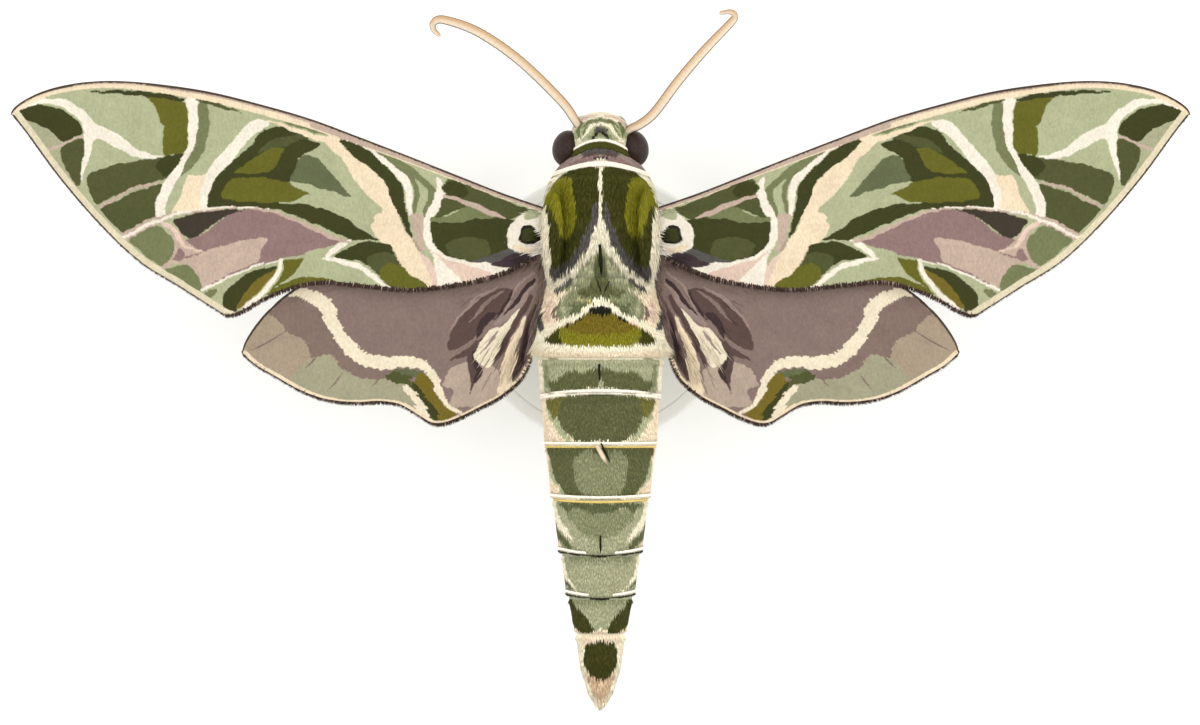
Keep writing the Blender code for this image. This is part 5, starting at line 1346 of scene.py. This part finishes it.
def make_creases(finish):
    """Gashes and smears of their own colour in the coat along the midline, each a tight bunch of scales."""
    root, along, length, width, colour = [], [], [], [], []
    for number, ((out, aft), (end_out, end_aft), wide, name) in enumerate(CREASES):
        step = np.array([end_out - out, end_aft - aft])
        for shift in np.linspace(-0.25, 0.25, 7):
            for start in np.linspace(0.0, 0.5, 5):
                spot = np.array([out, aft]) + step * start + np.array([shift * wide, 0.0])
                turn = np.arctan2(spot[0], 5.0)
                root.append(body_points(spot[1:2], np.array([turn]), -0.05 - 0.01 * number)[0])
                along.append((*step, 0.0))
                length.append(np.linalg.norm(step) * (0.95 - start - 0.6 * abs(shift)))
                width.append(wide * 0.42)
                colour.append(rgb(UPPER[name]) * rng.uniform(0.85, 1.1))
    count = len(root)
    unwrap = 0.05 + 0.9 * np.column_stack([(np.arange(count) % 12) / 12, np.arange(count) / count])
    coat("creases", np.array(root), unit(np.array(along)), np.tile(UPWARD, (count, 1)), np.array(length),
         np.array(width), np.array(colour), unwrap, finish, fade=(1.0, 1.0))


def spread_on_ball(count):
    """Even places on a ball, as unit directions."""
    turn = np.arange(count) * math.pi * (3 - math.sqrt(5))
    level = 1 - 2 * (np.arange(count) + 0.5) / count
    ring = np.sqrt(1 - level**2)
    return np.stack([ring * np.cos(turn), ring * np.sin(turn), level], axis=1)


def make_furred_egg(kind, name, side, colours, skin, hair):
    """An egg-shaped part in its own coat, a wing-base cover or a palp, whose ends may bow down."""
    centre, half, turn, depth, length, width, count, lay, bow = FURRED[kind]
    inner = np.array(half) - depth
    mesh = egg_mesh(f"{kind}_{name}", centre, inner, side, turn)
    spot = positions(mesh) / MM
    spot = np.column_stack([spot[:, 0] * side, spot[:, 1], spot[:, 2] - AXIS_HEIGHT])
    spot[:, 2] -= bow * (spot[:, 1] - centre[1]) ** 2
    set_positions(mesh, place(spot, side))
    store(mesh, "tint", colours(spot) * SKIN_SHADE)
    finished(f"{kind}_{name}", mesh, skin, [f"{kind}_{name}"])
    ball = unit(spread_on_ball(count) + rng.normal(0, 0.02, (count, 3)))
    turned = np.array(turn.to_3x3())
    root = (ball * inner) @ turned.T + centre
    root[:, 2] -= bow * (root[:, 1] - centre[1]) ** 2
    out = unit((ball / inner) @ turned.T)
    along = lay - out * np.sum(out * lay, axis=1)[:, None]
    slack = np.linalg.norm(along, axis=1, keepdims=True)
    along /= np.maximum(slack, 0.15)
    along = unit(along + out * 0.15 + rng.normal(0, 0.07, (count, 3)))
    reach = length * rng.uniform(0.75, 1.2, count) * np.clip(slack[:, 0] * 1.6, 0.25, 1.0)
    unwrap = 0.01 + 0.98 * np.column_stack([np.arctan2(ball[:, 1], ball[:, 0]) / (2 * math.pi) + 0.5,
                                            np.arccos(np.clip(ball[:, 2], -1, 1)) / math.pi])
    coat(f"coat_{kind}_{name}", root - out * 0.02, along, out, reach, np.full(count, width), colours, unwrap,
         hair, curl=-0.08, side=side)


def palp_colours(spot):
    """Palps: olive sides with a cream underside."""
    share = np.clip((spot[:, 2] + 3.4) / 0.9, 0, 1)[:, None]
    return blend(rgb("#d3cab1"), rgb("#757851"), share)


def place_on_wing(spots, lead, trail):
    """How far plan points lie from the nearest ray across a wing, and where along that ray they are."""
    nearest, chord = np.full(len(spots), FAR), np.zeros(len(spots))
    for start, end in zip(lead, trail):
        gap, share = along_segment(spots, start, end)
        closer = gap < nearest
        nearest[closer], chord[closer] = gap[closer], share[closer]
    return nearest, chord


# How many hairs each wing's root is given before those in the way or too far out are taken off
HINDWING_HAIRS, FOREWING_HAIRS = 2600, 900
ROOT_HAIR_WIDTH = 0.14


def make_wing_hair(kind, name, side, spots, length, origin, finish):
    """Long hair combed away from an origin over a wing's root, in the colours of the marks under it."""
    parts = WINGS[kind]
    lead, trail = edge_lines(parts["ribs"], 200)
    gap, chord = place_on_wing(spots, lead, trail)
    spots, chord = spots[gap < 0.2], chord[gap < 0.2]
    way = unit(spots - np.array(origin)) + rng.normal(0, 0.07, (len(spots), 2))
    reach = length * rng.uniform(0.7, 1.2, len(spots))
    tip = spots + way * reach[:, None]
    gap, tip_chord = place_on_wing(tip, lead, trail)
    keep = (gap < 0.2) & (tip_chord < 0.94) & (tip[:, 1] > -9.0)
    spots, chord, reach, tip = spots[keep], chord[keep], reach[keep], tip[keep]
    count = len(spots)
    up = parts["up"](spots[:, 0], spots[:, 1], chord) + 0.02
    tip_up = parts["up"](tip[:, 0], tip[:, 1], chord) + 0.05 + 0.07 * reach
    along = unit(np.column_stack([tip, tip_up]) - np.column_stack([spots, up]))
    face = UPWARD + rng.normal(0, 0.15, (count, 3))
    low, high = spots.min(0), spots.max(0)
    unwrap = 0.02 + 0.96 * (spots - low) / (high - low)

    def marks(spot):
        return Pattern(spot[:, :2], parts["marks"], parts["ground"]).colours(UPPER)

    coat(f"{name}_hair", np.column_stack([spots, up]), along, face, reach, np.full(count, ROOT_HAIR_WIDTH),
         marks, unwrap, finish, curl=-0.05, side=side, fade=(0.8, 1.05))


def make_root_hair(name, side, finish):
    """Hair over the roots of both wings of a side, thinner away from the body."""
    count = HINDWING_HAIRS
    spots = np.column_stack([rng.uniform(5.0, 13.5, count), rng.uniform(-4.0, 8.0, count)])
    away = (spots[:, 0] - 5.5) * 0.9 + (spots[:, 1] + 3.5) * 0.35
    spots = spots[away < rng.uniform(2.0, 7.5, count)]
    make_wing_hair("hindwing", f"hindwing_{name}", side, spots, 2.4, (3.6, -7.5), finish)
    count = FOREWING_HAIRS
    spots = np.column_stack([rng.uniform(4.6, 8.4, count), rng.uniform(-9.6, -4.0, count)])
    spots = spots[spots[:, 0] < rng.uniform(5.5, 8.4, count)]
    make_wing_hair("forewing", f"forewing_{name}", side, spots, 1.1, (-1.0, -8.6), finish)


# ---- Head pieces, legs and stand ----

EYE_CENTRE, EYE_HALF = (3.15, -14.75, -0.3), (1.38, 1.72, 1.9)
EYE_LEAN = Matrix.Rotation(math.radians(-12), 4, "Z")
# The small furred parts: centre, half sizes, lean on the left side, depth of the coat, length, width
# and number of its scales, the way they lie, and how much the part's ends bow down
FURRED = {
    "palp": ((1.65, -16.7, -2.9), (0.95, 1.25, 1.75), Matrix.Rotation(math.radians(-18), 4, "X"),
             0.12, 0.5, 0.1, 1500, (0.0, -0.35, 1.0), 0.0),
    "tegula": ((4.5, -6.8, 4.4), (1.35, 4.2, 0.48), Matrix.Rotation(math.radians(43), 4, "Y"),
               0.15, 1.3, 0.13, 1900, (0.12, 1.0, 0.0), 0.03),
}
# The two antennae are held differently, so each has a line of its own, mirrored on the right
ANTENNAE = {
    "left": [(1.9, -16.5, 0.3), (2.35, -17.3, 1.0), (3.74, -19.2, 1.6), (7.6, -22.9, 2.5),
             (11.4, -25.5, 3.0), (14.6, -26.65, 3.1), (15.6, -26.4, 3.0), (15.6, -25.75, 2.9),
             (15.0, -25.15, 2.8)],
    "right": [(2.2, -16.1, 0.2), (2.9, -16.6, 0.8), (3.7, -16.95, 1.1), (5.1, -18.1, 1.4),
              (7.3, -21.0, 2.1), (9.7, -23.8, 2.7), (12.0, -26.2, 3.0), (12.55, -26.95, 3.05),
              (12.2, -27.4, 3.0), (11.1, -27.3, 2.9)],
}
ANTENNA_RINGS, TONGUE_RINGS = 70, 44
# Each leg's hip, knee, ankle and toe
LEGS = {
    "foreleg": [(1.7, -10.6, -6.0), (3.3, -14.8, -5.9), (2.3, -11.2, -8.6), (1.7, -6.4, -8.4)],
    "midleg": [(2.5, -7.4, -6.4), (5.0, -3.2, -6.9), (4.6, 2.2, -7.3), (4.1, 8.2, -7.0)],
    "hindleg": [(2.0, -3.2, -6.3), (3.1, 1.2, -7.2), (2.5, 8.2, -7.1), (1.9, 15.5, -6.4)],
}
# Radii of each segment at its start, at two fifths of its length and at its end
LEG_SEGMENTS = {"femur": (0.42, 0.58, 0.4), "tibia": (0.32, 0.42, 0.34), "tarsus": (0.3, 0.28, 0.25)}
# The same for the coxa, which joins the leg to the body, and how far from the hip its upper end is
COXA_RADII, COXA_REACH = (0.62, 0.66, 0.5), (-0.35, -0.6, 1.6)
# How many hair-scales grow on the coxa, femur, tibia and tarsus
LEG_HAIRS = (200, 300, 340, 260)


def make_antenna(name, side, finish):
    """A tapering horn of seventy rings that ends in a thin hook. Its top is cream behind as a painted
    highlight and tan in front as painted shade, and its sides and underside are dark, partly their own
    brownish colour and partly painted shade."""
    line = smooth_line(ANTENNAE[name], 50)
    share = np.linspace(0, 1, len(line))
    ringed = 1 + 0.025 * np.cos(share * 2 * math.pi * ANTENNA_RINGS)
    radii = (0.36 + 0.1 * np.sin(np.clip(share * 1.25, 0, 1) * math.pi) ** 0.8 - 0.2 * share**5) * ringed
    radii[-6:] *= np.linspace(0.95, 0.4, 6)
    sides = 16
    mesh = tube_mesh(f"antenna_{name}", line * (side, 1, 1), radii, sides)
    ring = np.repeat(np.arange(len(line)), sides)
    spot = positions(mesh) / MM - np.array([0, 0, AXIS_HEIGHT])
    level = (spot[:, 2] - line[ring, 2]) / radii[ring]
    cream, tan, dark = (rgb(each) for each in ("#e0d1b9", "#bf9d76", "#4a3322"))
    turn = np.arctan2((spot[:, 1] - line[ring, 1]), radii[ring])
    # Darker towards the underside: partly the antenna's own brownish underside, partly painted shade along
    # its lower edges
    edge = np.clip(0.7 - level, 0, 0.3)[:, None] / 0.3
    # Painted light: cream on the rear side as a painted highlight, tan on the front side as painted shade
    painted_light = np.clip(0.4 + 1.2 * np.sin(turn[:, None]), 0, 1)
    tint = blend(blend(tan, cream, painted_light), dark, edge)
    tint = tint * (0.975 + 0.025 * np.cos(share[ring] * 2 * math.pi * ANTENNA_RINGS))[:, None]
    store(mesh, "tint", tint)
    finished(f"antenna_{name}", mesh, finish, [f"antenna_{name}"])


def make_tongue(finish):
    """The proboscis, rolled up like a watch spring between the palps."""
    share, sides = np.linspace(0, 1, 110), 14
    angle = 2 * math.pi * 1.5 * share + math.pi / 2
    reach = 1.2 - (1.2 - 0.3) * share
    line = np.stack([0 * share, -16.9 + reach * np.cos(angle), -4.95 + reach * np.sin(angle)], axis=1)
    ringed = np.cos(share * 2 * math.pi * TONGUE_RINGS)
    mesh = tube_mesh("tongue", line, (0.25 - 0.06 * share) * (1 + 0.05 * ringed), sides)
    mix = np.repeat(0.5 + 0.5 * ringed, sides)[:, None]
    store(mesh, "tint", blend(rgb("#513219"), rgb("#875c34"), mix))
    finished("tongue", mesh, finish, ["tongue"])


def joined(name, meshes):
    """Several closed meshes as one."""
    bm = bmesh.new()
    for mesh in meshes:
        bm.from_mesh(mesh)
    return mesh_of(bm, name)


def make_leg(leg, name, side, skin, hair):
    """A leg from its coxa to its claws, with the five joints of its foot, its spurs and short scales."""
    hip, knee, ankle, toe = (np.array(p) for p in LEGS[leg])
    rods, roots, ways, outs = [], [], [], []
    spots = (hip + COXA_REACH, hip, knee, ankle, toe)
    thickness = (COXA_RADII, *LEG_SEGMENTS.values())
    for index, (start, end, radii, count) in enumerate(zip(spots, spots[1:], thickness, LEG_HAIRS)):
        share = np.linspace(0, 1, 40)
        line = start + (end - start) * share[:, None]
        radius = np.interp(share, (0, 0.4, 1), radii) * 0.9
        if index == 3:
            radius = radius * (0.86 + 0.16 * np.abs(np.sin(share * math.pi * 5)) ** 0.5)
        radius[:3] *= (0.55, 0.82, 0.96)
        radius[-3:] *= (0.96, 0.82, 0.55)
        rods.append(tube_mesh("rod", line * (side, 1, 1), radius, 14))
        at, turn = rng.uniform(0.02, 0.94, count), rng.uniform(0, 2 * math.pi, count)
        way = (end - start) / np.linalg.norm(end - start)
        one = np.cross(way, (0, 0, 1.0))
        one /= np.linalg.norm(one)
        two = np.cross(way, one)
        out = one * np.cos(turn)[:, None] + two * np.sin(turn)[:, None]
        depth = (np.interp(at, share, radius) * 0.92)[:, None]
        roots.append(start + (end - start) * at[:, None] + out * depth)
        ways.append(np.tile(way, (count, 1)))
        outs.append(out)
    spurs = [] if leg == "foreleg" else [(ankle, (0.35, 1.5, -0.3)), (ankle, (-0.35, 1.3, -0.35))]
    if leg == "hindleg":
        middle = knee + (ankle - knee) * 0.55
        spurs += [(middle, (0.3, 1.3, -0.35)), (middle, (-0.3, 1.1, -0.3))]
    spurs += [(toe, (0.25, 0.42, -0.22)), (toe, (-0.25, 0.42, -0.22))]
    for base, reach in spurs:
        share = np.linspace(0, 1, 8)
        line = base + np.array(reach) * share[:, None] - 0.12 * UPWARD * (share**2)[:, None]
        rods.append(tube_mesh("spur", line * (side, 1, 1), 0.11 * (1 - 0.85 * share), 8))
    mesh = joined(f"{leg}_{name}", rods)
    spot = positions(mesh) / MM
    mix = (0.5 + 0.5 * np.sin(spot[:, 1] * 1.9 + 0.6))[:, None] * 0.5
    store(mesh, "tint", blend(rgb("#b4a784"), rgb("#7b704d"), mix))
    nodes = [f"{leg}_{name}_{segment}" for segment in LEG_SEGMENTS]
    finished(f"{leg}_{name}", mesh, skin, nodes)
    root, way, out = np.vstack(roots), np.vstack(ways), np.vstack(outs)
    count = len(root)
    along = unit(way + out * 0.3 + rng.normal(0, 0.09, (count, 3)))
    shades = np.array([rgb(each) for each in ("#d2c9b0", "#b1a580", "#878158")])
    colour = shades[rng.choice(3, count, p=(0.5, 0.35, 0.15))] * rng.uniform(0.85, 1.1, (count, 1))
    unwrap = 0.02 + 0.96 * (root[:, 1:] - root[:, 1:].min(0)) / np.ptp(root[:, 1:], axis=0)
    coat(f"coat_{leg}_{name}", root, along, out, rng.uniform(0.42, 0.62, count), np.full(count, 0.12), colour,
         unwrap, hair, curl=-0.15, side=side)


def turned_piece(name, profile, finish, steps):
    """A lathe-turned solid about the rod's axis; the profile is (radius, height), top to bottom."""
    bm = bmesh.new()
    corners = [bm.verts.new((radius * MM, 0.0, height * MM)) for radius, height in profile]
    edges = [bm.edges.new(pair) for pair in zip(corners, corners[1:])]
    bmesh.ops.spin(bm, geom=corners + edges, cent=(0, 0, 0), axis=(0, 0, 1), angle=2 * math.pi, steps=steps,
                   use_merge=True)
    bmesh.ops.remove_doubles(bm, verts=bm.verts, dist=1e-6)
    bmesh.ops.recalc_face_normals(bm, faces=bm.faces)
    mesh = mesh_of(bm, name)
    mesh.set_sharp_from_angle(angle=math.radians(40))
    finished(name, mesh, finish, [name])


def rounded(radius, height, size, sign):
    """A rounded outside corner on a turned profile: an upper one with sign 1, a lower one with -1."""
    steps = 6
    turns = [math.pi / 2 * k / steps for k in range(steps + 1)]
    arc = [(radius - size + size * math.sin(t), height - sign * (size - size * math.cos(t))) for t in turns]
    return arc if sign > 0 else arc[::-1]


def make_stand(acrylic, steel):
    """A white disc with a fine groove near its rim, and the rod that carries the body."""
    base = [(0.0, 3.0), (9.0, 3.0), (11.45, 3.0), (11.6, 2.86), (11.75, 3.0)]
    base += rounded(13.0, 3.0, 0.5, 1) + rounded(13.0, 0.0, 0.25, -1) + [(0.0, 0.0)]
    turned_piece("stand_base", base, acrylic, 128)
    rod = [(0.0, 17.1), (1.2, 17.05), (1.62, 16.9), (1.7, 16.65), (1.7, 15.95), (1.6, 15.6), (1.1, 15.1),
           (1.1, 9.0), (1.1, 5.6), (1.25, 5.0), (1.8, 4.35), (2.55, 4.05), (2.8, 3.85), (2.8, 3.05),
           (2.7, 2.95), (0.0, 2.95)]
    turned_piece("stand_rod", rod, steel, 64)


# ---- The scene ----

# The camera's place in mm (out, aft, over the table), and where the lamps aim, in metres
CAMERA_SPOT = (0.047, 5.376, 586.0)
AIM = Vector((0, 0.01, 0.02))


def make_camera():
    """A long lens straight above the wings, turned so that the head is at the top of its view."""
    lens = bpy.data.cameras.new("camera")
    lens.lens, lens.sensor_width = 180.0, 36.0
    lens.clip_start, lens.clip_end = 0.01, 10.0
    camera = bpy.data.objects.new("camera", lens)
    camera.location = [k * MM for k in CAMERA_SPOT]
    camera.rotation_euler = (0.0, 0.0, math.pi)
    bpy.context.scene.collection.objects.link(camera)
    bpy.context.scene.camera = camera


def make_light(name, spot, size, watts):
    """A soft square lamp that faces the moth."""
    lamp = bpy.data.lights.new(name, "AREA")
    lamp.shape, lamp.size, lamp.energy = "SQUARE", size, watts
    made = bpy.data.objects.new(name, lamp)
    made.location = spot
    made.rotation_euler = (AIM - Vector(spot)).to_track_quat("-Z", "Y").to_euler()
    bpy.context.scene.collection.objects.link(made)


def make_studio():
    """White paper underneath, a big soft lamp above and pale light all round."""
    world = bpy.data.worlds.new("studio")
    world.use_nodes = True
    sky = world.node_tree.nodes["Background"].inputs
    sky["Color"].default_value = linear("#ffffff")
    sky["Strength"].default_value = 0.795
    bpy.context.scene.world = world
    bm = bmesh.new()
    bmesh.ops.create_grid(bm, x_segments=2, y_segments=2, size=1.5)
    floor = bpy.data.objects.new("floor", mesh_of(bm, "floor"))
    floor.data.materials.append(studio_paper())
    bpy.context.scene.collection.objects.link(floor)
    make_light("overhead", (-0.06, -0.1, 0.55), size=0.8, watts=2.32)
    for name, side in SIDES.items():
        make_light("side_" + name, (0.42 * side, 0.02, 0.14), size=0.4, watts=1.0)
    bpy.context.scene.view_settings.view_transform = "Standard"


def main():
    skin, hair, horn, coil, leg_skin = (tinted(name, *look) for name, look in CHITIN.items())
    eye = compound_eye()
    make_camera()
    make_studio()
    make_body_skin(skin)
    for stretch, layout in COAT_STRETCHES.items():
        make_body_coat("coat_" + stretch, *layout, hair)
    make_joint_rows(hair)
    make_creases(hair)
    finishes = {}
    for name, side in SIDES.items():
        for kind in WINGS:
            make_wing(kind, f"{kind}_{name}", side, finishes)
            make_fringe(kind, f"{kind}_{name}", side, hair)
        make_root_hair(name, side, hair)
        egg = egg_mesh(f"eye_{name}", EYE_CENTRE, EYE_HALF, side, EYE_LEAN)
        finished(f"eye_{name}", egg, eye, [f"eye_{name}"])
        make_furred_egg("palp", name, side, palp_colours, skin, hair)
        make_furred_egg("tegula", name, side, body_colours, skin, hair)
        make_antenna(name, side, horn)
        for leg in LEGS:
            make_leg(leg, name, side, leg_skin, hair)
    make_tongue(coil)
    make_stand(cast_acrylic(), turned_steel())


main()
